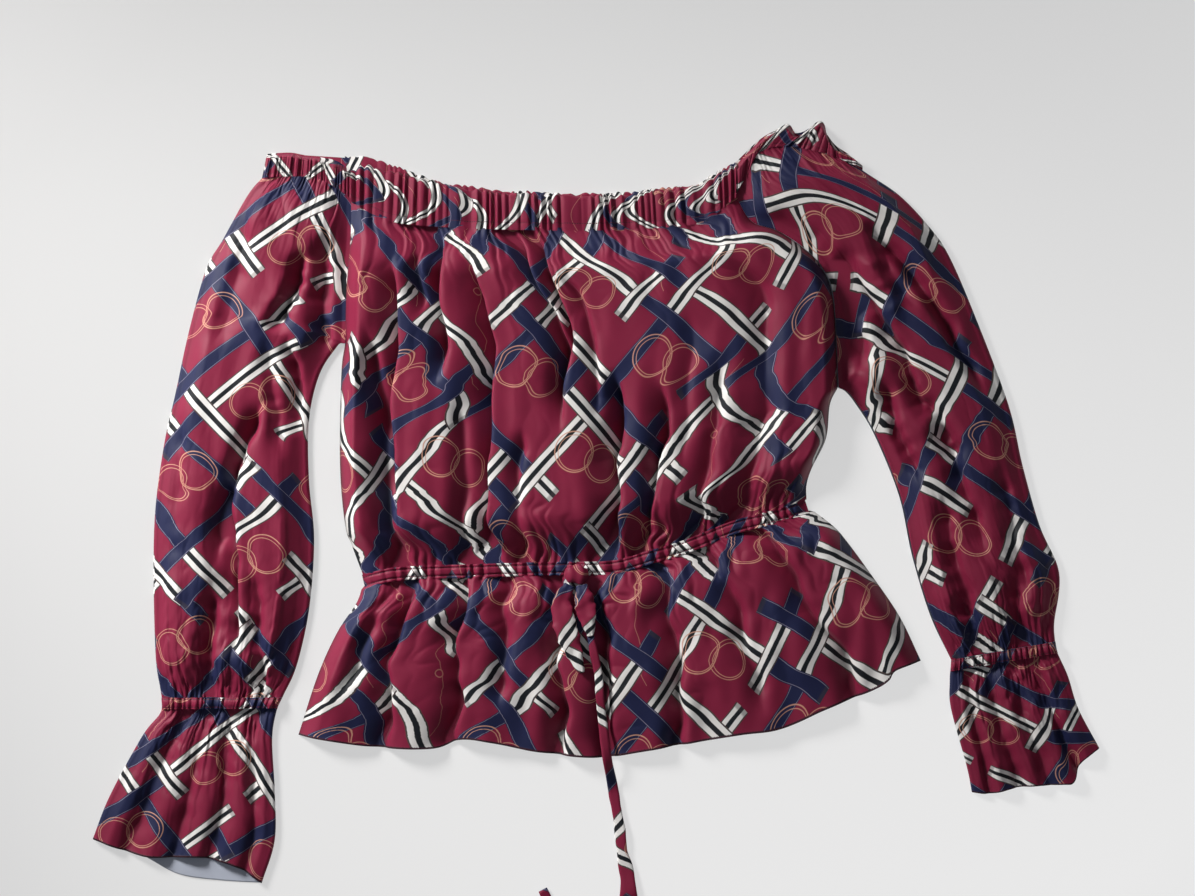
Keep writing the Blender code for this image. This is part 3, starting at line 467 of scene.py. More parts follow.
NECK_SEAM_HEIGHT = 7.2
WAIST_SEAM_HEIGHT = 6.6
RAGLAN_HEIGHT = 4.2
EDGE_HEIGHT = 0.9
WAIST_CHANNEL = 7.0
WRIST_CHANNEL = 9.0
LENGTH_OF_BODY = 262.0
LENGTH_OF_PEPLUM = 140.0
LENGTH_OF_SLEEVE = 420.0
LENGTH_OF_CUFF = 130.0


def body_sides():
    right = joined(line_through(RIGHT_RAGLAN), line_through(RIGHT_SIDE), RIGHT_ARMPIT)
    left = joined(line_through(LEFT_RAGLAN), line_through(LEFT_SIDE), LEFT_ARMPIT)
    return right, left


def waist_line(offset):
    return beside(line_through(WAIST), offset)


def shares(rows, columns):
    across, along = np.meshgrid(np.linspace(0, 1, columns + 1), np.linspace(0, 1, rows + 1))
    return across, along


def row_width(plan, along):
    ends = plan(np.ones_like(along), along) - plan(np.zeros_like(along), along)
    return np.linalg.norm(ends, axis=-1)


def bodice_plan():
    right, left = body_sides()
    return patch(line_through(NECK_SEAM), waist_line(WAIST_CHANNEL / 2), right, left)


def bodice_height(across, along, width, top, settings):
    from_top, from_bottom = along * LENGTH_OF_BODY, (1 - along) * LENGTH_OF_BODY
    base = top - (top - NECK_SEAM_HEIGHT) * (1 - ease(from_top / 42))
    base = base - (top - WAIST_SEAM_HEIGHT) * (1 - ease(from_bottom / 38))
    right_rim = RAGLAN_HEIGHT + (EDGE_HEIGHT - RAGLAN_HEIGHT) * ease((along - RIGHT_ARMPIT + 0.05) / 0.08)
    left_rim = RAGLAN_HEIGHT + (EDGE_HEIGHT - RAGLAN_HEIGHT) * ease((along - LEFT_ARMPIT + 0.05) / 0.08)
    right_side = ease(0.5 + 0.5 * across * width / 15) * 2 - 1
    left_side = ease(0.5 + 0.5 * (1 - across) * width / 12) * 2 - 1
    high = right_rim + (base - right_rim) * right_side
    high = left_rim + (high - left_rim) * left_side
    inside = ease(np.minimum(across, 1 - across) * width / 20)
    high = high + fold_height(BODY_FOLDS, across, along, width) * inside
    neck = gathers(across, from_top, settings.neck_gathers, settings.pucker / MM, 101, 17)
    waist = gathers(across, from_bottom, settings.waist_gathers, settings.pucker / MM, 201, 15)
    small = crumple(across * width, along * LENGTH_OF_BODY, 7, 34, 0.42)
    high = high + (neck + waist + small) * inside
    return np.maximum(high, np.where(inside < 0.9, EDGE_HEIGHT, 2.4))


def peplum_sides():
    right, left = line_through(RIGHT_PEPLUM_SIDE), line_through(LEFT_PEPLUM_SIDE)
    top, start = waist_line(-WAIST_CHANNEL / 2), 0.05
    return (joined(line_through([top(0.0), right(start)]), part_of(right, start, 1), start),
            joined(line_through([top(1.0), left(start)]), part_of(left, start, 1), start))


def peplum_plan():
    right, left = peplum_sides()
    return patch(waist_line(-WAIST_CHANNEL / 2), line_through(FRONT_HEM), right, left)


def peplum_height(across, along, width, top, settings):
    from_top = along * LENGTH_OF_PEPLUM
    base = top - (top - WAIST_SEAM_HEIGHT) * (1 - ease(from_top / 34))
    base = base - 4.6 * ease((along - 0.62) / 0.38)
    side = (ease(0.5 + 0.5 * across * width / 15) * 2 - 1) \
        * (ease(0.5 + 0.5 * (1 - across) * width / 15) * 2 - 1)
    high = EDGE_HEIGHT + (base - EDGE_HEIGHT) * side
    inside = ease(np.minimum(across, 1 - across) * width / 16)
    high = high + fold_height(PEPLUM_FOLDS, across, along, width) * inside
    flare = 1.5 * ease((along - 0.3) / 0.7) * np.sin(across * 2 * pi * 7.5 + 0.8 * wander(across, 5))
    waist = gathers(across, from_top, settings.waist_gathers, settings.pucker / MM, 201, 17)
    small = crumple(across * width, from_top, 8, 34, 0.42)
    high = high + (flare + waist + small) * inside
    return np.maximum(high, np.where(inside < 0.9, EDGE_HEIGHT, 2.2))


# Pieces of cloth

def upper_sheet(name, plan, rows, columns, height, length, leaning=0.4, hem=None, grow=0.0):
    """A layer of the front: a fine grid over the plan, with its height and leaning folds."""
    across, along = shares(rows, columns)
    flat = plan(across, along)
    width = row_width(plan, along[:, 0])[:, None] * np.ones_like(across)
    high = height(across, along, width)
    points = np.dstack([flat, high])
    free = ease(np.minimum(across, 1 - across) * width / 25)
    free = free * ease(np.minimum(along, 1 - along) * length / 20)
    middle = np.median(high)
    points = lean(points, (high - middle) * free, leaning)
    near = np.exp(-along * length / 26.0) + grow * np.exp(-(1 - along) * length / 26.0)
    uv = cloth_coordinates(points, -along * length, 1.0 + 0.28 * near[:, 1:])
    marks = plain_marks(across)
    if hem:
        marks["hem"] = (1 - along) * length
    made = mesh_from_grid(name, points, uv, True, marks)
    return made, points


def lower_sheet(name, plan, rows, columns, length, seed, hem=None):
    """A layer of the back, which lies on the floor and shows its outside to it."""
    across, along = shares(rows, columns)
    flat = plan(across, along)
    width = row_width(plan, along[:, 0])[:, None] * np.ones_like(across)
    inside = ease(np.minimum(across, 1 - across) * width / 12)
    near = np.exp(-along * length / 20.0) + (0.0 if hem else 1.0) * np.exp(-(1 - along) * length / 20.0)
    wave = 0.5 + 0.5 * np.cos(2 * pi * (across * 30 + 0.3 * wander(across * 2, seed)))
    high = 0.15 + (0.9 * near * wave + 0.35 * (1 + 0.6 * wander(across * 3 + along, seed + 1))) * inside
    points = np.dstack([flat, np.maximum(high, 0.1)])
    uv = cloth_coordinates(points, -along * length + 17.0)
    marks = plain_marks(across)
    if hem:
        marks["hem"] = (1 - along) * length
    return mesh_from_grid(name, points, uv, False, marks), points


def tube_points(upper, under, along, width, height, counts, closed, roll=(3.0, 4.0)):
    """A tube that lies flat: inner roll, upper layer, outer roll, underside, back to the inner seam."""
    many, few = counts
    inner_roll, outer_roll = roll
    rows = len(along)
    turn = np.radians(np.linspace(0, 90, 7))[None, :]
    shut = closed[:, None]
    wide = width[:, None]
    column = along[:, None]
    inner_top = height(inner_roll / wide, column)
    half = inner_top / 2
    flat_out = inner_roll * turn / (pi / 2)
    out_a = flat_out + (inner_roll * (1 - np.cos(turn)) - flat_out) * shut
    high_a = inner_top + (half * (1 + np.sin(turn)) - inner_top) * shut
    out_b = inner_roll + (wide - inner_roll - outer_roll) * np.linspace(0, 1, many + 2)[None, 1:-1]
    high_b = height(out_b / wide, np.broadcast_to(column, out_b.shape))
    outer_top = height(1 - outer_roll / wide, column)
    around = np.radians(np.linspace(90, -90, 15))[None, :]
    out_c = wide - outer_roll + outer_roll * np.cos(around)
    high_c = outer_top / 2 * (1 + np.sin(around))
    out_d = wide - outer_roll - (wide - inner_roll - outer_roll) * np.linspace(0, 1, few + 2)[None, 1:-1]
    high_d = 0.15 + 0.25 * (1 + np.sin(out_d / 9.0 + column * 21.0)) * ease((out_d - 6) / 10)
    back = turn[:, ::-1]
    flat_back = inner_roll * back / (pi / 2)
    out_e = flat_back + (inner_roll * (1 - np.cos(back)) - flat_back) * shut
    high_e = 0.15 + (half * (1 - np.sin(back)) - 0.15) * shut
    upper_outs = np.concatenate([out_a + 0 * wide, out_b, out_c[:, :8] + 0 * wide], axis=1)
    under_outs = np.concatenate([out_c[:, 8:] + 0 * wide, out_d, out_e + 0 * wide], axis=1)
    high = np.concatenate([high_a + 0 * wide, high_b, high_c, high_d, high_e + 0 * wide], axis=1)
    rise = np.broadcast_to(column, upper_outs.shape)
    fall = np.broadcast_to(column, under_outs.shape)
    flat = np.concatenate([upper(upper_outs / wide, rise), under(under_outs / wide, fall)], axis=1)
    assert rows == flat.shape[0]
    return np.dstack([flat, np.maximum(high, 0.1)])


def tube_sheet(name, points, top_columns, length_at, hem=None, stitch=None):
    """The mesh of a flat tube, with cloth coordinates that follow it round."""
    step = np.linalg.norm(np.diff(points, axis=1), axis=-1)
    reached = np.concatenate([np.zeros((points.shape[0], 1)), np.cumsum(step, axis=1)], axis=1)
    middle = top_columns // 2
    across = reached - reached[:, middle:middle + 1]
    uv = np.dstack([across, np.broadcast_to(-length_at[:, None], across.shape)])
    far = np.full(across.shape, FAR)
    marks = {"stitch": far if stitch is None else np.broadcast_to(stitch, across.shape),
             "hem": far if hem is None else np.broadcast_to(hem, across.shape)}
    return mesh_from_grid(name, points, uv, True, marks)


# Node graphs

class Graph:
    """A node tree with short calls for the nodes that the print and the weave use."""

    def __init__(self, tree):
        self.tree = tree
        self.count = 0

    def node(self, kind, **values):
        made = self.tree.nodes.new(kind)
        made.location = (self.count % 12 * 180, -(self.count // 12) * 220)
        self.count += 1
        for name, value in values.items():
            setattr(made, name, value)
        return made

    def put(self, socket, value):
        if isinstance(value, bpy.types.NodeSocket):
            self.tree.links.new(value, socket)
        elif value is not None:
            socket.default_value = value

    def math(self, operation, first, second=None, third=None):
        made = self.node("ShaderNodeMath", operation=operation)
        for socket, value in zip(made.inputs, (first, second, third)):
            self.put(socket, value)
        return made.outputs[0]

    def mix(self, factor, first, second):
        made = self.node("ShaderNodeMix", data_type="RGBA")
        self.put(made.inputs["Factor"], factor)
        self.put(made.inputs["A"], first)
        self.put(made.inputs["B"], second)
        return made.outputs["Result"]

    def darken(self, colour, shade):
        """The colour times a shade."""
        made = self.node("ShaderNodeMix", data_type="RGBA", blend_type="MULTIPLY")
        made.inputs["Factor"].default_value = 1.0
        self.put(made.inputs["A"], colour)
        self.put(made.inputs["B"], shade)
        return made.outputs["Result"]

    def ranged(self, value, low, high, smooth=False):
        """The value from 0 to 1, brought to the range from low to high."""
        made = self.node("ShaderNodeMapRange", interpolation_type="SMOOTHSTEP" if smooth else "LINEAR")
        self.put(made.inputs["Value"], value)
        made.inputs["To Min"].default_value = low
        made.inputs["To Max"].default_value = high
        return made.outputs["Result"]

    def below(self, value, limit, soft=0.0002):
        """1 where value is under limit, with a soft edge."""
        made = self.node("ShaderNodeMapRange", interpolation_type="SMOOTHSTEP")
        self.put(made.inputs["Value"], self.math("SUBTRACT", value, limit))
        made.inputs["From Min"].default_value = -soft
        made.inputs["From Max"].default_value = soft
        made.inputs["To Min"].default_value = 1.0
        made.inputs["To Max"].default_value = 0.0
        return made.outputs["Result"]

    def band(self, value, low, high, soft=0.0002):
        inner = self.below(value, low, soft)
        return self.math("MULTIPLY", self.below(value, high, soft), self.math("SUBTRACT", 1.0, inner))

    def chance(self, first, second, seed):
        place = self.node("ShaderNodeCombineXYZ")
        self.put(place.inputs[0], first)
        self.put(place.inputs[1], second)
        place.inputs[2].default_value = seed
        made = self.node("ShaderNodeTexWhiteNoise", noise_dimensions="3D")
        self.tree.links.new(place.outputs[0], made.inputs["Vector"])
        return made.outputs["Value"]


NUMBER, COLOUR, PLACE = "NodeSocketFloat", "NodeSocketColor", "NodeSocketVector"


def new_group(name, inputs, outputs):
    group = bpy.data.node_groups.new(name, "ShaderNodeTree")
    for label, kind in inputs:
        group.interface.new_socket(label, in_out="INPUT", socket_type=kind)
    for label, kind in outputs:
        group.interface.new_socket(label, in_out="OUTPUT", socket_type=kind)
    graph = Graph(group)
    start = graph.node("NodeGroupInput")
    end = graph.node("NodeGroupOutput")
    return group, graph, start.outputs, end.inputs


def new_material(name):
    material = bpy.data.materials.new(name)
    material.use_nodes = True
    return material, Graph(material.node_tree), material.node_tree.nodes["Principled BSDF"]


def ribbon_group():
    """Across a ribbon: how far from its middle, and whether it is striped, give its colour."""
    inputs = [(label, NUMBER) for label in ("Distance", "Half Width", "Plain")]
    inputs += [(label, COLOUR) for label in ("Navy", "White", "Black")]
    outputs = [("Color", COLOUR), ("Mask", NUMBER)]
    group, graph, given, out = new_group("ribbon stripes", inputs, outputs)
    share = graph.math("DIVIDE", given["Distance"], given["Half Width"])
    white = graph.band(share, 0.27, 0.84, 0.03)
    striped = graph.mix(white, given["Black"], given["White"])
    outline = graph.band(share, 0.90, 1.1, 0.03)
    striped = graph.mix(graph.math("MULTIPLY", outline, 0.5), striped, (0.16, 0.10, 0.085, 1.0))
    edge = graph.band(share, 0.74, 0.80, 0.02)
    plain = graph.mix(graph.math("MULTIPLY", edge, 0.6), given["Navy"], (0.36, 0.34, 0.44, 1.0))
    graph.put(out["Color"], graph.mix(given["Plain"], striped, plain))
    full = graph.below(share, 1.0, 0.03)
    slim = graph.below(share, 0.90, 0.03)
    less = graph.math("MULTIPLY", given["Plain"], graph.math("SUBTRACT", full, slim))
    graph.put(out["Mask"], graph.math("SUBTRACT", full, less))
    return group


# Shares of a repeat: a ribbon's short end past a meeting, what a long end adds, and how many run on
STUB_SHARE = 0.215
LONGER_STUB = 0.20
RUN_ON = 0.66
# How far the rings lie above the middle of their field, in metres
RING_LIFT = 0.012


def print_group(ribbon_stripes):
    """Woven ribbons on both diagonals, with rings and fine cords in the fields between them."""
    inputs = [("Vector", PLACE)] + [(label, NUMBER) for label in ("Repeat", "Ribbon", "Ring", "Pair Gap")]
    inputs += [(label, COLOUR) for label in ("Ground", "Navy", "White", "Black", "Gold")]
    group, graph, given, out = new_group("ribbon print", inputs, [("Color", COLOUR)])
    split = graph.node("ShaderNodeSeparateXYZ")
    graph.put(split.inputs[0], given["Vector"])
    s, t = split.outputs[0], split.outputs[1]
    root_half = 0.70710678
    repeat = given["Repeat"]
    p = graph.math("DIVIDE", graph.math("MULTIPLY", graph.math("ADD", s, t), root_half), repeat)
    q = graph.math("DIVIDE", graph.math("MULTIPLY", graph.math("SUBTRACT", s, t), root_half), repeat)
    half = graph.math("MULTIPLY", given["Ribbon"], 0.5)

    # Ribbons lie in pairs. Where pairs meet they are woven; between the meetings some run on.
    def family(along, across, shift):
        """The nearest ribbon: its distance, its side of the pair, its kind and how far past its end."""
        pair = graph.math("ROUND", across)
        off = graph.math("SUBTRACT", across, pair)
        second = graph.math("GREATER_THAN", off, 0.0)
        gap = graph.math("SUBTRACT", graph.math("ABSOLUTE", off), given["Pair Gap"])
        distance = graph.math("MULTIPLY", graph.math("ABSOLUTE", gap), repeat)
        number = graph.math("ADD", graph.math("MULTIPLY", pair, 2.0), second)
        side = graph.math("SUBTRACT", graph.math("MULTIPLY", second, 2.0), 1.0)
        start = graph.math("MULTIPLY", graph.math("MULTIPLY", side, shift), given["Pair Gap"])
        stretch = graph.math("FLOOR", graph.math("ADD", along, start))
        draw = graph.chance(stretch, number, 14.0 + shift)
        turns = graph.math("ADD", graph.math("ADD", stretch, pair), second)
        kind = graph.math("FLOORED_MODULO", turns, 2.0)
        kind = graph.math("GREATER_THAN", graph.math("ADD", kind, graph.math("MULTIPLY", draw, 0.7)), 0.85)
        meeting = graph.math("ROUND", along)
        long_end = graph.math("GREATER_THAN", graph.chance(meeting, number, 34.0 + shift), 0.5)
        stub = graph.math("ADD", STUB_SHARE, graph.math("MULTIPLY", long_end, LONGER_STUB))
        past = graph.math("SUBTRACT", graph.math("ABSOLUTE", graph.math("SUBTRACT", along, meeting)), stub)
        chosen = graph.chance(graph.math("FLOOR", along), number, 24.0 + shift)
        runs_on = graph.math("LESS_THAN", chosen, RUN_ON)
        past = graph.math("SUBTRACT", graph.math("MULTIPLY", past, repeat), runs_on)
        return distance, second, kind, past

    da, i, kind_a, end_a = family(p, q, 1.0)
    db, j, kind_b, end_b = family(q, p, -1.0)

    def ribbon(distance, kind, end):
        made = graph.node("ShaderNodeGroup")
        made.node_tree = ribbon_stripes
        graph.put(made.inputs["Distance"], distance)
        graph.put(made.inputs["Half Width"], half)
        graph.put(made.inputs["Plain"], kind)
        for colour in ("Navy", "White", "Black"):
            graph.put(made.inputs[colour], given[colour])
        fold = graph.math("MULTIPLY", graph.band(end, -0.0035, 0.002, 0.001), 0.5)
        colour = graph.mix(fold, made.outputs["Color"], (0.05, 0.04, 0.045, 1.0))
        return colour, graph.math("MULTIPLY", made.outputs["Mask"], graph.below(end, 0.0))

    colour_a, mask_a = ribbon(da, kind_a, end_a)
    colour_b, mask_b = ribbon(db, kind_b, end_b)

    # Fields between the ribbons, numbered, with their own centres
    field_i, field_j = graph.math("FLOOR", q), graph.math("FLOOR", p)
    off_q = graph.math("MULTIPLY", graph.math("SUBTRACT", graph.math("SUBTRACT", q, field_i), 0.5), repeat)
    off_p = graph.math("MULTIPLY", graph.math("SUBTRACT", graph.math("SUBTRACT", p, field_j), 0.5), repeat)
    off_s = graph.math("MULTIPLY", graph.math("ADD", off_p, off_q), root_half)
    off_t = graph.math("MULTIPLY", graph.math("SUBTRACT", off_p, off_q), root_half)
    draw = graph.chance(field_i, field_j, 9.0)
    ringed = graph.math("LESS_THAN", draw, 0.62)
    corded = graph.math("GREATER_THAN", draw, 0.45)

    def ring(shift_s, shift_t, radius):
        x = graph.math("SUBTRACT", off_s, shift_s)
        y = graph.math("SUBTRACT", off_t, shift_t + RING_LIFT)
        squares = graph.math("ADD", graph.math("MULTIPLY", x, x), graph.math("MULTIPLY", y, y))
        reach = graph.math("SQRT", squares)
        return graph.math("ABSOLUTE", graph.math("SUBTRACT", reach, radius))

    wide = given["Ring"]
    inner = graph.math("MULTIPLY", wide, 0.87)
    lines = graph.below(ring(-0.011, 0.004, wide), 0.00042, 0.00022)
    for one in (ring(-0.0104, 0.0034, inner), ring(0.011, -0.005, graph.math("MULTIPLY", wide, 0.94)),
                ring(0.0115, -0.0056, graph.math("MULTIPLY", wide, 0.80))):
        lines = graph.math("MAXIMUM", lines, graph.below(one, 0.00028, 0.00022))
    lines = graph.math("MULTIPLY", lines, ringed)
    swing = graph.math("MULTIPLY", graph.math("SINE", graph.math("MULTIPLY", off_t, 150.0)), 0.0022)
    thread = graph.below(graph.math("ABSOLUTE", graph.math("SUBTRACT", off_s, swing)), 0.00028, 0.00018)
    bead = graph.below(ring(0.0, 0.0, 0.0030), 0.00045, 0.0002)
    hollow = graph.below(ring(0.0, 0.0, 0.0), 0.0026, 0.0002)
    open_thread = graph.math("MULTIPLY", thread, graph.math("SUBTRACT", 1.0, hollow))
    thread = graph.math("MAXIMUM", open_thread, bead)
    colour = graph.mix(graph.math("MULTIPLY", graph.math("MULTIPLY", thread, corded), 0.5), given["Ground"],
                       given["Gold"])

    # One ribbon passes under the other by turns
    odd = graph.math("FLOORED_MODULO", graph.math("ADD", i, j), 2.0)
    a_over = graph.math("LESS_THAN", odd, 0.5)
    b_over = graph.math("SUBTRACT", 1.0, a_over)
    colour = graph.mix(graph.math("MULTIPLY", mask_a, b_over), colour, colour_a)
    colour = graph.mix(graph.math("MULTIPLY", mask_b, a_over), colour, colour_b)
    colour = graph.mix(graph.math("MULTIPLY", mask_a, a_over), colour, colour_a)
    colour = graph.mix(graph.math("MULTIPLY", mask_b, b_over), colour, colour_b)
    colour = graph.mix(graph.math("MULTIPLY", lines, 0.85), colour, given["Gold"])
    graph.put(out["Color"], colour)
    return group


def weave_group():
    """The fine twill of a satin cloth: a height for bumps and small changes of gloss."""
    inputs = [("Vector", PLACE), ("Threads", NUMBER)]
    outputs = [("Height", NUMBER), ("Shade", NUMBER)]
    group, graph, given, out = new_group("satin weave", inputs, outputs)
    split = graph.node("ShaderNodeSeparateXYZ")
    graph.put(split.inputs[0], given["Vector"])
    s, t = split.outputs[0], split.outputs[1]
    diagonal = graph.math("ADD", s, graph.math("MULTIPLY", t, 0.6))
    rate = graph.math("MULTIPLY", given["Threads"], 2 * pi)
    twill = graph.math("SINE", graph.math("MULTIPLY", diagonal, rate))
    fibre = graph.node("ShaderNodeTexNoise", noise_dimensions="3D")
    graph.put(fibre.inputs["Vector"], given["Vector"])
    fibre.inputs["Scale"].default_value = 900.0
    fibre.inputs["Detail"].default_value = 2.0
    soft = graph.node("ShaderNodeTexNoise", noise_dimensions="3D")
    graph.put(soft.inputs["Vector"], given["Vector"])
    soft.inputs["Scale"].default_value = 45.0
    soft.inputs["Detail"].default_value = 3.0
    height = graph.math("ADD", graph.math("MULTIPLY", twill, 0.35), fibre.outputs["Fac"])
    graph.put(out["Height"], graph.math("ADD", height, graph.math("MULTIPLY", soft.outputs["Fac"], 6.0)))
    graph.put(out["Shade"], soft.outputs["Fac"])
    return group


def stitch_group():
    """Dashes of thread on a marked line, and the bound edge of a hem."""
    inputs = [("Vector", PLACE), ("Stitch Distance", NUMBER),
              ("Hem Distance", NUMBER)]
    outputs = [("Thread", NUMBER), ("Hem", NUMBER), ("Height", NUMBER)]
    group, graph, given, out = new_group("stitching", inputs, outputs)
    split = graph.node("ShaderNodeSeparateXYZ")
    graph.put(split.inputs[0], given["Vector"])
    run = graph.math("FRACT", graph.math("MULTIPLY", split.outputs[0], 380.0))
    dash = graph.math("LESS_THAN", run, 0.68)
    line = graph.below(given["Stitch Distance"], 0.42, 0.15)
    graph.put(out["Thread"], graph.math("MULTIPLY", line, dash))
    wrap = graph.math("SINE", graph.math("MULTIPLY", split.outputs[0], 5200.0))
    edge = graph.math("ADD", 1.5, graph.math("MULTIPLY", wrap, 0.25))
    hem = graph.below(given["Hem Distance"], edge, 0.3)
    graph.put(out["Hem"], hem)
    groove = graph.below(given["Stitch Distance"], 1.2, 1.0)
    graph.put(out["Height"], graph.math("SUBTRACT", graph.math("MULTIPLY", hem, 0.8), groove))
    return group


def cloth_material(name, groups, colours, turn=0.0, shift=(0.0, 0.0), repeat_scale=1.0, pale_back=True):
    """Printed satin: the print, its reverse, the weave, stitching, a hem and painted shade in the folds."""
    material, graph, shader = new_material(name)
    place = graph.node("ShaderNodeUVMap", uv_map="cloth")
    turned = graph.node("ShaderNodeMapping")
    graph.put(turned.inputs["Vector"], place.outputs[0])
    turned.inputs["Location"].default_value = (shift[0] * MM, shift[1] * MM, 0.0)
    turned.inputs["Rotation"].default_value = (0.0, 0.0, radians(turn))
    printed = graph.node("ShaderNodeGroup")
    printed.node_tree = groups["print"]
    graph.put(printed.inputs["Vector"], turned.outputs[0])
    printed.inputs["Repeat"].default_value = colours.repeat * repeat_scale
    printed.inputs["Ribbon"].default_value = colours.ribbon * repeat_scale
    printed.inputs["Ring"].default_value = colours.ring * repeat_scale
    printed.inputs["Pair Gap"].default_value = colours.pair_gap / colours.repeat
    for label, value in (("Ground", colours.ground), ("Navy", colours.navy), ("White", colours.white),
                         ("Black", colours.black), ("Gold", colours.gold)):
        printed.inputs[label].default_value = value[:]
    weave = graph.node("ShaderNodeGroup")
    weave.node_tree = groups["weave"]
    graph.put(weave.inputs["Vector"], place.outputs[0])
    weave.inputs["Threads"].default_value = 1400.0
    seams = graph.node("ShaderNodeGroup")
    seams.node_tree = groups["stitch"]
    graph.put(seams.inputs["Vector"], place.outputs[0])
    for mark, label in (("stitch", "Stitch Distance"), ("hem", "Hem Distance")):
        attribute = graph.node("ShaderNodeAttribute", attribute_name=mark)
        graph.put(seams.inputs[label], attribute.outputs["Fac"])
    colour = graph.mix(seams.outputs["Hem"], printed.outputs["Color"], (0.035, 0.008, 0.016, 1.0))
    colour = graph.mix(seams.outputs["Thread"], colour, (0.09, 0.015, 0.03, 1.0))
    colour = graph.darken(colour, graph.ranged(weave.outputs["Shade"], 0.88, 1.10))
    # Painted shade: the colour darkens to 0.12 of itself in the deepest folds
    hollow = graph.node("ShaderNodeAttribute", attribute_name="hollow")
    colour = graph.darken(colour, graph.ranged(hollow.outputs["Fac"], 1.0, 0.12, True))
    sides = graph.node("ShaderNodeNewGeometry")
    both = graph.mix(sides.outputs["Backfacing"], colour, colours.reverse[:])
    graph.put(shader.inputs["Base Color"], both if pale_back else colour)
    graph.put(shader.inputs["Roughness"], graph.ranged(weave.outputs["Shade"], 0.50, 0.66))
    total = graph.math("ADD", weave.outputs["Height"], graph.math("MULTIPLY", seams.outputs["Height"], 9.0))
    bump = graph.node("ShaderNodeBump")
    bump.inputs["Strength"].default_value = 0.35
    bump.inputs["Distance"].default_value = 0.00006
    graph.put(bump.inputs["Height"], total)
    graph.put(shader.inputs["Normal"], bump.outputs[0])
    shader.inputs["Specular IOR Level"].default_value = 0.28
    shader.inputs["Sheen Weight"].default_value = 0.04
    shader.inputs["Sheen Roughness"].default_value = 0.4
    return material


def reverse_material(groups, colours):
    """The pale unprinted side of the cloth."""
    material, graph, shader = new_material("reverse of the cloth")
    place = graph.node("ShaderNodeUVMap", uv_map="cloth")
    weave = graph.node("ShaderNodeGroup")
    weave.node_tree = groups["weave"]
    graph.put(weave.inputs["Vector"], place.outputs[0])
    weave.inputs["Threads"].default_value = 1400.0
    faded = graph.ranged(weave.outputs["Shade"], 0.85, 1.08)
    graph.put(shader.inputs["Base Color"], graph.darken(colours.reverse[:], faded))
    shader.inputs["Roughness"].default_value = 0.6
    bump = graph.node("ShaderNodeBump")
    bump.inputs["Strength"].default_value = 0.3
    bump.inputs["Distance"].default_value = 0.00006
    graph.put(bump.inputs["Height"], weave.outputs["Height"])
    graph.put(shader.inputs["Normal"], bump.outputs[0])
    return material


def materials():
    """The cloth's materials, made once and then found by name."""
    if "bodice cloth" in bpy.data.materials:
        return bpy.data.materials
    colours = bpy.context.scene.blouse_print
    stripes = ribbon_group()
    groups = {"print": print_group(stripes), "weave": weave_group(), "stitch": stitch_group()}
    cloth_material("bodice cloth", groups, colours, 0.0, (6.0, 4.0))
    cloth_material("peplum cloth", groups, colours, 0.0, (24.0, 31.0))
    cloth_material("right sleeve cloth", groups, colours, 2.0, (11.0, 3.0))
    cloth_material("left sleeve cloth", groups, colours, -4.0, (33.0, 19.0))
    cloth_material("band cloth", groups, colours, 0.0, (2.0, 27.0), 0.8, False)
    cloth_material("tie cloth", groups, colours, 0.0, (21.0, 9.0), 0.9, False)
    reverse_material(groups, colours)
    return bpy.data.materials


# Pieces, one operator for each group

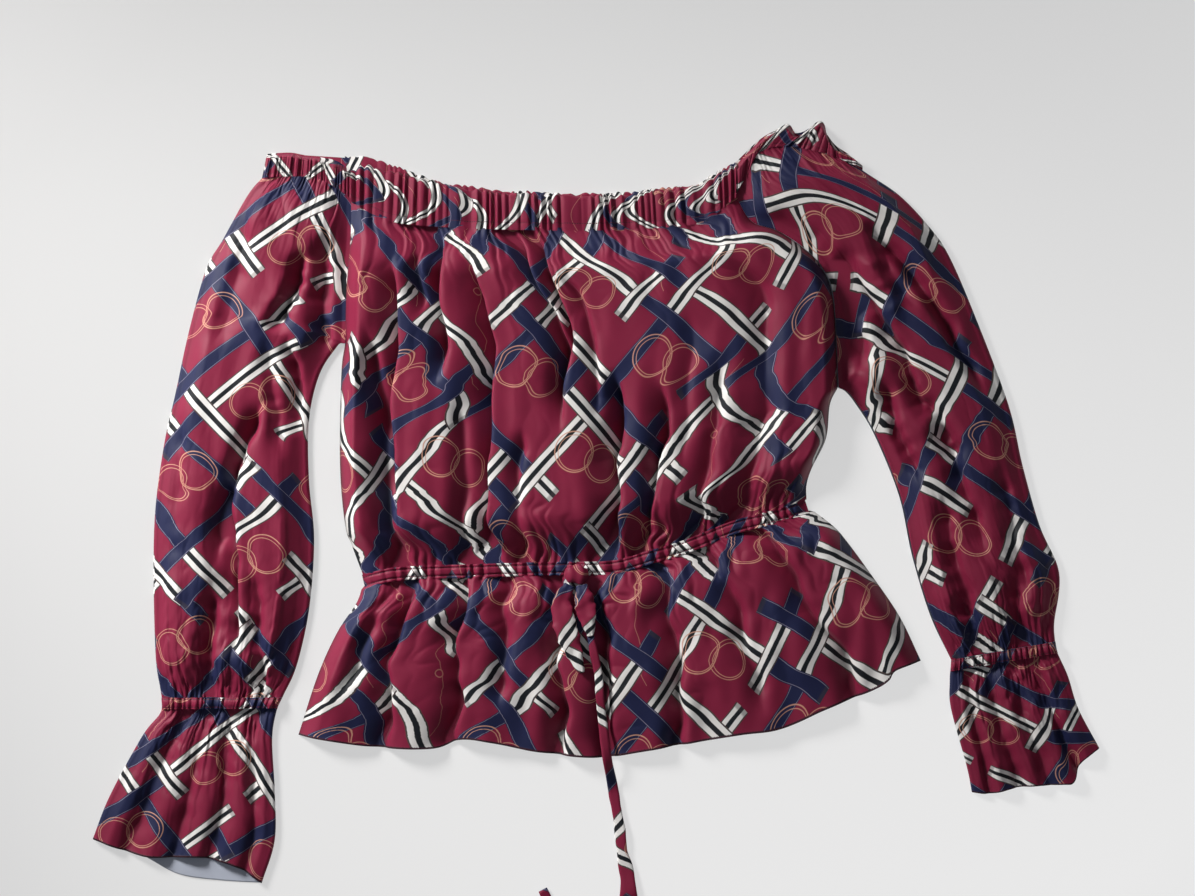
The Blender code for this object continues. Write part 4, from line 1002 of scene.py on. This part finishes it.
class BLOUSE_OT_stage(bpy.types.Operator):
    """Make the floor that glows with painted light, the soft lights and the camera straight above."""
    bl_idname = "blouse.stage"
    bl_label = "Stage"

    def execute(self, context):
        stage = context.scene.blouse_stage
        material, graph, shader = new_material("floor with painted glow")
        place = graph.node("ShaderNodeTexCoord")
        cloud = graph.node("ShaderNodeTexNoise")
        cloud.inputs["Scale"].default_value = 1.6
        graph.put(cloud.inputs["Vector"], place.outputs["Object"])
        graph.put(shader.inputs["Base Color"], graph.mix(cloud.outputs["Fac"], (0.27, 0.27, 0.27, 1.0),
                                                         (0.30, 0.30, 0.30, 1.0)))
        # Painted light: the floor glows, least at the upper left and most at the lower right, where the key
        # lights reach less
        split = graph.node("ShaderNodeSeparateXYZ")
        graph.put(split.inputs[0], place.outputs["Object"])
        slope = graph.math("SUBTRACT", split.outputs[0], split.outputs[1])
        glow = graph.node("ShaderNodeMapRange")
        graph.put(glow.inputs["Value"], slope)
        glow.inputs["From Min"].default_value = -0.7
        glow.inputs["From Max"].default_value = 0.7
        glow.inputs["To Min"].default_value = 0.40
        glow.inputs["To Max"].default_value = 0.70
        graph.put(shader.inputs["Emission Color"], glow.outputs["Result"])
        shader.inputs["Emission Strength"].default_value = 1.0
        shader.inputs["Roughness"].default_value = 0.85
        shader.inputs["Specular IOR Level"].default_value = 0.1
        bpy.ops.object.select_all(action="DESELECT")
        bpy.ops.mesh.primitive_plane_add(size=6.0, location=(0.0, 0.0, 0.0))
        floor = context.object
        floor.name = "stage_floor"
        floor.data.materials.append(material)
        world = bpy.data.worlds.new("studio")
        context.scene.world = world
        world.use_nodes = True
        world.node_tree.nodes["Background"].inputs["Color"].default_value = (0.93, 0.95, 1.0, 1.0)
        world.node_tree.nodes["Background"].inputs["Strength"].default_value = 0.12
        context.scene.view_settings.view_transform = "Standard"
        key_place, key_colour = (-1.30, 0.95, 0.80), (1.0, 0.98, 0.96)
        self.add_light("key", "SPOT", key_place, (-0.30, 0.02, 0.0), 0.50, 215.0, key_colour, 36)
        self.add_light("key on the neck", "SPOT", key_place, (0.14, 0.24, 0.0), 0.50, 130.0, key_colour, 20)
        self.add_light("top", "AREA", (-0.5, 0.4, 2.6), (-0.1, 0.0, 0.0), 1.4, 3.0, (0.97, 0.98, 1.0))
        lens = bpy.data.cameras.new("camera")
        lens.sensor_width = 36.0
        lens.lens = 36.0 * stage.camera_height / stage.view_width
        camera = bpy.data.objects.new("camera", lens)
        centre_x, centre_y = 1.155 * MM, 41.6 * MM
        camera.location = (centre_x, centre_y, stage.camera_height)
        context.scene.collection.objects.link(camera)
        context.scene.camera = camera
        return {"FINISHED"}

    def add_light(self, name, kind, place, aim, size, power, colour, spread=0):
        light = bpy.data.lights.new(name, kind)
        if kind == "AREA":
            light.shape = "DISK"
            light.size = size
        else:
            light.shadow_soft_size = size / 2
            light.spot_size = radians(spread)
            light.spot_blend = 1.0
        light.energy = power
        light.color = colour
        lamp = bpy.data.objects.new(name, light)
        lamp.location = place
        lamp.rotation_euler = (Vector(aim) - Vector(place)).to_track_quat("-Z", "Y").to_euler()
        bpy.context.scene.collection.objects.link(lamp)


def peplum_top_at(places, settings):
    """The highest point of the peplum round each place in plan, and the floor beyond its hem."""
    plan = peplum_plan()
    across, along = shares(150, 300)
    flat = plan(across, along)
    width = row_width(plan, along[:, 0])[:, None] * np.ones_like(across)
    high = peplum_height(across, along, width, settings.peplum_height / MM, settings)
    found = []
    for x, y in places:
        near = np.hypot(flat[..., 0] - x, flat[..., 1] - y) < 6.5
        found.append(float(high[near].max()) if near.any() else 0.0)
    return np.array(found)


def tube_along(name, centres, sides, ups, widths, thicks, around=20, lumps=0.0, seed=1):
    """A closed tube with a flattened section, along given centres."""
    count = len(centres)
    turn = np.linspace(0, 2 * pi, around, endpoint=False)
    ring = np.stack([np.cos(turn), np.sin(turn)], -1)
    crease = 1.0 - 0.25 * np.exp(-((turn - pi / 2) / 0.35) ** 2)
    points = []
    for index in range(count):
        uneven = 1.0 + lumps * wander(np.array([index / 17.0]), seed)[0]
        wide, thick = widths[index] / 2 * uneven, thicks[index] / 2
        points.append(centres[index] + ring[:, :1] * wide * sides[index]
                      + (ring[:, 1:] * crease[:, None]) * thick * ups[index])
    points = np.array(points)
    vertices = points.reshape(-1, 3) * MM
    faces, uvs = [], []
    reached = np.concatenate([[0], np.cumsum(np.linalg.norm(np.diff(centres, axis=0), axis=-1))])
    for row in range(count - 1):
        for step in range(around):
            following = (step + 1) % around
            faces.append((row * around + step, row * around + following,
                          (row + 1) * around + following, (row + 1) * around + step))
            girth = [step / around, (step + 1) / around, (step + 1) / around, step / around]
            rise = [reached[row], reached[row], reached[row + 1], reached[row + 1]]
            uvs += [(g * 2.2 * widths[row] * MM, r * MM) for g, r in zip(girth, rise)]
    last = (count - 1) * around
    faces.append(tuple(range(around - 1, -1, -1)))
    faces.append(tuple(range(last, last + around)))
    uvs += [(0.0, 0.0)] * (2 * around)
    mesh = bpy.data.meshes.new(name)
    mesh.from_pydata(vertices.tolist(), [], faces)
    layer = mesh.uv_layers.new(name="cloth")
    layer.data.foreach_set("uv", np.array(uvs, np.float32).ravel())
    for mark in ("stitch", "hem"):
        attribute = mesh.attributes.new(mark, "FLOAT", "POINT")
        attribute.data.foreach_set("value", np.full(len(vertices), FAR, np.float32))
    made = bpy.data.objects.new(name, mesh)
    bpy.context.scene.collection.objects.link(made)
    turn_outwards(made)
    mesh.shade_smooth()
    return made


def turn_outwards(piece):
    bpy.ops.object.select_all(action="DESELECT")
    bpy.context.view_layer.objects.active = piece
    piece.select_set(True)
    bpy.ops.object.mode_set(mode="EDIT")
    bpy.ops.mesh.select_all(action="SELECT")
    bpy.ops.mesh.normals_make_consistent(inside=False)
    bpy.ops.object.mode_set(mode="OBJECT")
    piece.select_set(False)


class BLOUSE_OT_tail(bpy.types.Operator):
    """Lay the long free end of the tie over the peplum and the floor."""
    bl_idname = "blouse.tail"
    bl_label = "Tie tail"

    def execute(self, context):
        settings = context.scene.blouse_sizes
        route = line_through(TAIL_ROUTE)
        count = 150
        share = np.linspace(0, 1, count + 1)
        flat = route(share)
        under = peplum_top_at(flat, settings)
        spread = np.array([under[max(0, k - 4):k + 5].max() for k in range(count + 1)])
        smooth = np.convolve(np.pad(spread, 4, mode="edge"), np.ones(9) / 9, mode="valid")
        thick = 2.4
        centres = np.column_stack([flat, smooth + thick / 2 + 0.7])
        run = np.gradient(flat, axis=0)
        run = run / np.linalg.norm(run, axis=-1, keepdims=True)
        widths = np.interp(share, np.linspace(0, 1, len(TAIL_WIDTHS)), TAIL_WIDTHS)
        widths = widths * (1 + 0.10 * wander(share * 4, 3))
        tilt = radians(22) * wander(share * 2.2, 12)
        sides = np.column_stack([-run[:, 1] * np.cos(tilt), run[:, 0] * np.cos(tilt), np.sin(tilt)])
        ups = np.column_stack([run[:, 1] * np.sin(tilt), -run[:, 0] * np.sin(tilt), np.cos(tilt)])
        centres[:, 2] += np.abs(np.sin(tilt)) * widths / 2
        thicks = np.full(count + 1, thick)
        tail = tube_along("tie_tail_cloth", centres, sides, ups, widths, thicks, 16, 0.06, 5)
        tail.data.materials.append(materials()["tie cloth"])
        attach(tail, "root")
        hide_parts("tie_tail")
        return {"FINISHED"}


class BLOUSE_OT_bow(bpy.types.Operator):
    """Tie the small knot and its two flat loops at the front of the waist."""
    bl_idname = "blouse.bow"
    bl_label = "Bow"

    def execute(self, context):
        settings = context.scene.blouse_sizes
        self.add_loop("loop_right_cloth", RIGHT_LOOP, "bow_loop_right", 0.0, 21, settings)
        self.add_loop("loop_left_cloth", LEFT_LOOP, "bow_loop_left", 1.2, 22, settings)
        self.add_knot(settings)
        return {"FINISHED"}

    def add_loop(self, name, straps, node, lift, seed, settings):
        share = np.linspace(0, 1, 70)
        line = line_through([(strap.x, strap.y) for strap in straps])
        flat = line(share)
        widths = np.interp(share, np.linspace(0, 1, len(straps)), [strap.width for strap in straps])
        under = peplum_top_at(flat, settings)
        high = np.convolve(np.pad(under, 6, mode="edge"), np.ones(13) / 13, mode="valid")
        centres = np.column_stack([flat, high + 2.2 + lift + 1.4 * np.sin(share * pi)])
        run = np.gradient(flat, axis=0)
        run = run / np.linalg.norm(run, axis=-1, keepdims=True)
        tilt = radians(14) * wander(share * 1.3, seed)
        sides = np.column_stack([-run[:, 1] * np.cos(tilt), run[:, 0] * np.cos(tilt), np.sin(tilt)])
        ups = np.column_stack([run[:, 1] * np.sin(tilt), -run[:, 0] * np.sin(tilt), np.cos(tilt)])
        loop = tube_along(name, centres, sides, ups, widths, np.full(70, 4.2), 28, 0.08, seed)
        loop.data.materials.append(materials()["tie cloth"])
        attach(loop, "root")
        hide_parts(node)

    def add_knot(self, settings):
        rings, around = 34, 48
        polar = np.linspace(0.02, pi - 0.02, rings)[:, None]
        turn = np.linspace(0, 2 * pi, around, endpoint=False)[None, :]
        ridge = 1 + 0.10 * np.sin(3.0 * polar * 2 + np.sin(turn) * 1.6)
        ridge = ridge + 0.05 * np.sin(turn * 3 + polar * 5)
        x = np.cos(polar) * np.ones_like(turn) * KNOT_SIZE[0] / 2
        y = np.sin(polar) * np.cos(turn) * KNOT_SIZE[1] / 2 * ridge
        z = np.sin(polar) * np.sin(turn) * KNOT_SIZE[2] / 2 * ridge
        low = float(peplum_top_at([KNOT_PLACE], settings)[0])
        points = np.dstack([x + KNOT_PLACE[0], y + KNOT_PLACE[1], z + low + KNOT_SIZE[2] / 2 - 0.6])
        faces = []
        for row in range(rings - 1):
            for step in range(around):
                following = (step + 1) % around
                faces.append((row * around + step, row * around + following,
                              (row + 1) * around + following, (row + 1) * around + step))
        faces.append(tuple(range(around - 1, -1, -1)))
        faces.append(tuple(range((rings - 1) * around, rings * around)))
        mesh = bpy.data.meshes.new("knot_cloth")
        mesh.from_pydata((points.reshape(-1, 3) * MM).tolist(), [], faces)
        layer = mesh.uv_layers.new(name="cloth")
        spot = np.zeros(len(mesh.loops), np.int32)
        mesh.loops.foreach_get("vertex_index", spot)
        flat = points.reshape(-1, 3)[spot]
        layer.data.foreach_set("uv", (flat[:, [0, 1]] * 1.3 * MM).astype(np.float32).ravel())
        for mark in ("stitch", "hem"):
            attribute = mesh.attributes.new(mark, "FLOAT", "POINT")
            attribute.data.foreach_set("value", np.full(len(mesh.vertices), FAR, np.float32))
        knot = bpy.data.objects.new("knot_cloth", mesh)
        context = bpy.context
        context.scene.collection.objects.link(knot)
        turn_outwards(knot)
        mesh.shade_smooth()
        mesh.materials.append(materials()["tie cloth"])
        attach(knot, "root")
        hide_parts("bow_knot")


class BLOUSE_OT_bodice(bpy.types.Operator):
    """Lay the front of the bodice with its folds over the plain back."""
    bl_idname = "blouse.bodice"
    bl_label = "Bodice"

    def execute(self, context):
        settings = context.scene.blouse_sizes
        plan = bodice_plan()
        top = settings.body_height / MM

        def height(across, along, width):
            return bodice_height(across, along, width, top, settings)

        front, points = upper_sheet("bodice_front_cloth", plan, 235, 360, height, LENGTH_OF_BODY, 0.62,
                                    grow=1.0)
        finish_piece(front, ["front_bodice"], materials()["bodice cloth"])
        back, points = lower_sheet("bodice_back_cloth", plan, 60, 200, LENGTH_OF_BODY, 41)
        finish_piece(back, ["back_bodice"], materials()["bodice cloth"])
        return {"FINISHED"}


class BLOUSE_OT_peplum(bpy.types.Operator):
    """Lay the flared peplum, front and back, below the waist."""
    bl_idname = "blouse.peplum"
    bl_label = "Peplum"

    def execute(self, context):
        settings = context.scene.blouse_sizes
        plan = peplum_plan()
        top = settings.peplum_height / MM

        def height(across, along, width):
            return peplum_height(across, along, width, top, settings)

        front, points = upper_sheet("peplum_front_cloth", plan, 130, 400, height, LENGTH_OF_PEPLUM, 0.5,
                                    hem=True)
        finish_piece(front, ["front_peplum"], materials()["peplum cloth"])
        right, left = peplum_sides()
        under = patch(waist_line(-WAIST_CHANNEL / 2), beside(line_through(FRONT_HEM), 2.0), right, left)
        back, points = lower_sheet("peplum_back_cloth", under, 40, 200, LENGTH_OF_PEPLUM, 51, hem=True)
        finish_piece(back, ["back_peplum"], materials()["peplum cloth"])
        return {"FINISHED"}


class BLOUSE_OT_bands(bpy.types.Operator):
    """Gather the elastic bands at the neckline, the shoulders and the waist."""
    bl_idname = "blouse.bands"
    bl_label = "Neck and waist bands"

    def execute(self, context):
        settings = context.scene.blouse_sizes
        self.add_neck(settings)
        self.add_waist(settings)
        self.add_shoulder("right", RIGHT_SHOULDER_FRONT, RIGHT_SHOULDER_BACK, RIGHT_SHOULDER_SEAM,
                          FRONT_NECK_TOP[0], BACK_NECK_TOP[0], settings)
        self.add_shoulder("left", LEFT_SHOULDER_FRONT, LEFT_SHOULDER_BACK, LEFT_SHOULDER_SEAM,
                          FRONT_NECK_TOP[-1], BACK_NECK_TOP[-1], settings)
        return {"FINISHED"}

    def ripple(self, across, count, seed):
        """The gathers of the panel at its seam, and how they lean sideways."""
        nearby = 0.25 / count
        here = gathers(across, 0 * across, count, 1.0, seed)
        return here, gathers(across + nearby, 0 * across, count, 1.0, seed) * 0.6

    def band(self, name, top_line, low_line, across_count, rows, count, seed, heights, deep, wave, overlap):
        """A gathered band: over its rolled top edge and down to its seam, or flat from edge to edge."""
        high, seam_high, low = heights
        across, along = shares(rows, across_count)
        top, bottom = top_line(across), low_line(across)
        fall = bottom - top
        fall = fall / np.linalg.norm(fall, axis=-1, keepdims=True)
        up, side = self.ripple(across, count, seed)
        roll = np.clip(along / 0.30, 0, 1)
        down = np.clip((along - 0.30) / 0.70, 0, 1)
        radius = (high - low) / 2
        reach = np.linalg.norm(bottom - top, axis=-1) + overlap
        distance = radius * (1 - np.cos((roll - 0.5) * pi)) * 0.8 * (roll > 0.5)
        distance = distance + down * (reach - radius * 0.8)
        z = np.where(roll < 1, low + radius + radius * np.sin((roll - 0.5) * pi), high)
        z = z - (high - seam_high) * ease(down)
        swell = np.sin(np.clip(down, 0, 1) * pi)
        z = z + deep * up * (0.35 * roll + 0.65 * roll * (0.4 + 0.6 * swell)) + 0.5 * swell
        edge = wave * (up * 0.8 + 0.5 * wander(across * 6, seed + 5)) * (1 - down) * 1.0
        flat = top + fall * (distance - edge)[..., None]
        run = np.stack([-fall[..., 1], fall[..., 0]], -1)
        flat = flat + run * (side * deep * 0.35)[..., None]
        points = np.dstack([flat, z])
        uv = cloth_coordinates(points, -distance + 30.0, 1.35)
        marks = {"stitch": np.abs(reach - distance - overlap - 3.0), "hem": np.full(across.shape, FAR)}
        return mesh_from_grid(name, points, uv, True, marks), points

    def add_neck(self, settings):
        seam = line_through(NECK_SEAM)
        high = settings.neck_height / MM
        front, points = self.band("neck_band_front", line_through(FRONT_NECK_TOP), seam, 620, 44,
                                  settings.neck_gathers, 101, (high, NECK_SEAM_HEIGHT + 0.3, 3.2),
                                  settings.pucker / MM, 1.6, 2.5)
        finish_piece(front, ["front_neck_casing"], materials()["band cloth"])
        back, points = self.band("neck_band_back", line_through(BACK_NECK_TOP), seam, 420, 26,
                                 settings.neck_gathers, 131, (2.9, 2.4, 0.3), 0.5, 1.4, 0.0)
        finish_piece(back, ["back_neck_casing"], materials()["band cloth"])

    def add_waist(self, settings):
        for name, node, rows, high, low, seed, deep in (
                ("waist_band_front", "front_waist_casing", 22, 7.3, 6.3, 201, settings.pucker / MM * 0.95),
                ("waist_band_back", "back_waist_casing", 10, 2.2, 0.2, 231, 0.6)):
            across, along = shares(rows, 560)
            ahead, behind = waist_line(5.2)(across), waist_line(-5.2)(across)
            flat = ahead + (behind - ahead) * along[..., None]
            up, side = self.ripple(across, settings.waist_gathers, seed)
            inside = ease(np.minimum(across, 1 - across) * line_through(WAIST).length / 14)
            offset = (along - 0.5) * 10.4
            channel = 0.8 * np.exp(-((np.abs(offset) - 3.0) / 0.6) ** 2)
            bulge = (high - low) * np.sqrt(np.clip(1 - (offset / 5.4) ** 2, 0, 1))
            z = low + bulge - channel + deep * up
            z = np.maximum(z * inside + (low * 0.3 + 0.4) * (1 - inside), 0.1)
            flat[..., 0] += side * deep * 0.35
            points = np.dstack([flat, z])
            uv = cloth_coordinates(points, -offset + 55.0, 1.3)
            marks = {"stitch": np.abs(np.abs(offset) - 3.0), "hem": np.full(across.shape, FAR)}
            made = mesh_from_grid(name, points, uv, node.startswith("front"), marks)
            finish_piece(made, [node], materials()["band cloth"])

    def add_shoulder(self, side, front_top, back_top, seam, neck_front, neck_back, settings):
        count = 6 if side == "left" else 7
        upper = patch(line_through(front_top), line_through(seam), line_through([neck_front, seam[0]]),
                      line_through([front_top[-1], seam[-1]]))
        across, along = shares(34, 260)
        flat = upper(across, along)
        up, turn = self.ripple(across, count, 141 if side == "left" else 151)
        high = settings.neck_height / MM
        roll = np.clip(along / 0.25, 0, 1)
        radius = (high - 0.4) / 2
        z = np.where(roll < 1, 0.4 + radius + radius * np.sin((roll - 0.5) * pi), high)
        z = z - 1.2 * ease((along - 0.25) / 0.75)
        z = z + settings.pucker / MM * 0.8 * up * roll
        outer = ease((1 - across) / 0.06)
        z = 0.4 + (z - 0.4) * (0.35 + 0.65 * outer)
        flat[..., 0] += turn * 0.5
        points = np.dstack([flat, z])
        uv = cloth_coordinates(points, -along * 26.0 + 30.0, 1.3)
        marks = {"stitch": np.abs(26.0 * (1 - along) - 4.0), "hem": np.full(across.shape, FAR)}
        top = mesh_from_grid(side + "_shoulder_band", points, uv, True, marks)
        under = patch(line_through(back_top), line_through(seam), line_through([neck_back, seam[0]]),
                      line_through([back_top[-1], seam[-1]]))
        across, along = shares(10, 120)
        low = np.dstack([under(across, along), np.full(across.shape, 0.3)])
        uv = cloth_coordinates(low, -along * 26.0, 1.3)
        bottom = mesh_from_grid(side + "_shoulder_under", low, uv, False, plain_marks(across))
        for piece in (top, bottom):
            piece.data.materials.append(materials()["band cloth"])
        band = join(top, bottom)
        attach(band, "root")
        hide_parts(side + "_shoulder_casing")


def join(first, second):
    bpy.ops.object.select_all(action="DESELECT")
    second.select_set(True)
    first.select_set(True)
    bpy.context.view_layer.objects.active = first
    bpy.ops.object.join()
    first.select_set(False)
    return first


class BLOUSE_OT_sleeves(bpy.types.Operator):
    """Lay the two raglan sleeves as flat tubes with their long folds."""
    bl_idname = "blouse.sleeves"
    bl_label = "Sleeves"

    def execute(self, context):
        settings = context.scene.blouse_sizes
        self.add_sleeve("right", RIGHT_RAGLAN, RIGHT_UNDERARM, 0.28, RIGHT_SHOULDER_SEAM,
                        RIGHT_SLEEVE_OUTER, RIGHT_SLEEVE_CREASES, 61, settings)
        self.add_sleeve("left", LEFT_RAGLAN, LEFT_UNDERARM, 0.42, LEFT_SHOULDER_SEAM, LEFT_SLEEVE_OUTER,
                        LEFT_SLEEVE_CREASES, 71, settings)
        return {"FINISHED"}

    def add_sleeve(self, side, raglan, underarm, armpit, top, outer, creases, seed, settings):
        inner = joined(line_through(raglan), line_through(underarm), armpit)
        wrist = line_through([underarm[-1], outer[-1]])
        plan = patch(line_through(top), wrist, inner, line_through(outer))
        along = np.linspace(0, 1, 300)
        width = row_width(plan, along)
        middle = settings.sleeve_height / MM

        def height(across, down):
            wide = np.interp(down, along, width)
            from_top, from_wrist = down * LENGTH_OF_SLEEVE, (1 - down) * LENGTH_OF_SLEEVE
            base = middle - (middle - NECK_SEAM_HEIGHT) * (1 - ease(from_top / 40))
            base = base - (middle - 6.2) * (1 - ease(from_wrist / 36))
            high = RAGLAN_HEIGHT + (base - RAGLAN_HEIGHT) * ease(across * wide / 24)
            high = 5.0 + (high - 5.0) * ease((1 - across) * wide / 22)
            inside = ease(np.minimum(across, 1 - across) * wide / 15)
            flat = plan(across, np.broadcast_to(down, across.shape))
            high = high + crease_height(creases, flat) * inside
            cuff = gathers(across, from_wrist, settings.wrist_gathers, settings.pucker / MM, seed, 17)
            neck = gathers(across, from_top, 12, settings.pucker / MM * 0.7, seed + 9, 14)
            small = crumple(across * wide, from_top, seed + 2, 30, 0.45)
            return np.maximum(high + (cuff + neck + small) * inside, 2.6)

        closed = ease((along - armpit) / 0.03)
        points = tube_points(plan, plan, along, width, height, (150, 30), closed)
        amount = np.clip(points[..., 2] - 6.0, -6, 6)
        ends = (ease(along * 12) * ease((1 - along) * 12))[:, None]
        points[:, :165, 0] -= (0.35 * amount * ends)[:, :165]
        made = tube_sheet(side + "_sleeve_cloth", points, 160, along * LENGTH_OF_SLEEVE)
        finish_piece(made, [side + "_sleeve"], materials()[side + " sleeve cloth"])


class BLOUSE_OT_cuffs(bpy.types.Operator):
    """Gather the wrists and flare the cuffs below them, with their pale reverse inside."""
    bl_idname = "blouse.cuffs"
    bl_label = "Wrists and cuffs"

    def execute(self, context):
        settings = context.scene.blouse_sizes
        self.add_cuff("right", RIGHT_CUFF_OUTER, RIGHT_CUFF_INNER,
                      RIGHT_UNDERARM[-1], RIGHT_SLEEVE_OUTER[-1],
                      RIGHT_HEM_UPPER, RIGHT_HEM_UNDER, 81, settings)
        self.add_cuff("left", LEFT_CUFF_OUTER, LEFT_CUFF_INNER, LEFT_UNDERARM[-1], LEFT_SLEEVE_OUTER[-1],
                      LEFT_HEM_UPPER, LEFT_HEM_UNDER, 91, settings)
        return {"FINISHED"}

    def add_cuff(self, side, outer_points, inner_points, wrist_in, wrist_out, hem_upper, hem_under, seed,
                 settings):
        outer, inner = line_through(outer_points), line_through(inner_points)
        outer_channel = WRIST_CHANNEL / outer.length
        inner_channel = WRIST_CHANNEL / inner.length
        lower = line_through([inner(inner_channel), outer(outer_channel)])
        casing = patch(line_through([wrist_in, wrist_out]), lower, part_of(inner, 0, inner_channel),
                       part_of(outer, 0, outer_channel))
        sides = (part_of(inner, inner_channel, 1), part_of(outer, outer_channel, 1))
        upper = patch(lower, line_through(hem_upper), *sides)
        under = patch(lower, line_through(hem_under), *sides)
        pucker = settings.pucker / MM

        def casing_height(across, down):
            swell = np.sin(np.clip(down, 0, 1) * pi)
            wave = gathers(across, 0 * down, settings.wrist_gathers, pucker * 0.9, seed, 17)
            return 6.6 + 0.9 * swell + wave * ease(np.minimum(across, 1 - across) * 16)

        def cuff_height(across, down):
            wide = 92.0 + 46.0 * down
            base = 6.4 + 3.4 * ease(down * 130 / 30) - 1.2 * ease((down - 0.7) / 0.3)
            edge = ease(np.minimum(across, 1 - across) * wide / 18)
            high = 4.6 + (base - 4.6) * edge + fold_height(CUFF_FOLDS, across, down, wide) * edge
            wave = gathers(across, down * 130, settings.wrist_gathers, pucker, seed, 20)
            small = crumple(across * wide, down * 130, seed + 3, 28, 0.4)
            return np.maximum(high + (wave + small) * edge, 2.2)

        along = np.linspace(0, 1, 26)
        width = row_width(casing, along)
        closed = np.ones_like(along)
        band = tube_points(casing, casing, along, width, casing_height, (150, 30), closed)
        made = tube_sheet(side + "_wrist_band", band, 160, along * WRIST_CHANNEL,
                          stitch=np.abs(np.abs(along * WRIST_CHANNEL - 4.5) - 3.2)[:, None])
        finish_piece(made, [side + "_wrist_casing"], materials()[side + " sleeve cloth"])
        along = np.linspace(0, 1, 120)
        width = row_width(upper, along)
        closed = np.ones_like(along)
        points = tube_points(upper, under, along, width, cuff_height, (150, 40), closed)
        made = tube_sheet(side + "_cuff_cloth", points, 160, along * LENGTH_OF_CUFF + 7.0,
                          hem=((1 - along) * LENGTH_OF_CUFF)[:, None])
        cloths = [materials()[side + " sleeve cloth"], materials()["reverse of the cloth"]]
        finish_piece(made, [side + "_cuff"], cloths)
        wall = made.modifiers.new("wall", "SOLIDIFY")
        wall.thickness = 0.45 * MM
        wall.offset = -1.0
        wall.material_offset = 1


class BLOUSE_PT_sidebar(bpy.types.Panel):
    """The pieces of the blouse, in the order in which they are made."""
    bl_label = "Blouse"
    bl_space_type = "VIEW_3D"
    bl_region_type = "UI"
    bl_category = "Blouse"

    def draw(self, context):
        layout = self.layout
        scene = context.scene
        for settings in (scene.blouse_sizes, scene.blouse_print, scene.blouse_stage):
            box = layout.box()
            for name in settings.bl_rna.properties.keys():
                if name not in ("rna_type", "name"):
                    box.prop(settings, name)
        for operator in ORDER:
            layout.operator(operator.bl_idname)


ORDER = (BLOUSE_OT_stage, BLOUSE_OT_tail, BLOUSE_OT_bow, BLOUSE_OT_bodice, BLOUSE_OT_bands,
         BLOUSE_OT_peplum,
         BLOUSE_OT_sleeves, BLOUSE_OT_cuffs)
CLASSES = (BlouseSettings, PrintSettings, StageSettings) + ORDER + (BLOUSE_PT_sidebar,)


def register():
    for one in CLASSES:
        bpy.utils.register_class(one)
    bpy.types.Scene.blouse_sizes = PointerProperty(type=BlouseSettings)
    bpy.types.Scene.blouse_print = PointerProperty(type=PrintSettings)
    bpy.types.Scene.blouse_stage = PointerProperty(type=StageSettings)


def unregister():
    del bpy.types.Scene.blouse_sizes
    del bpy.types.Scene.blouse_print
    del bpy.types.Scene.blouse_stage
    for one in reversed(CLASSES):
        bpy.utils.unregister_class(one)


def main():
    register()
    for operator in ORDER:
        group, name = operator.bl_idname.split(".")
        getattr(getattr(bpy.ops, group), name)()


if __name__ == "__main__":
    main()
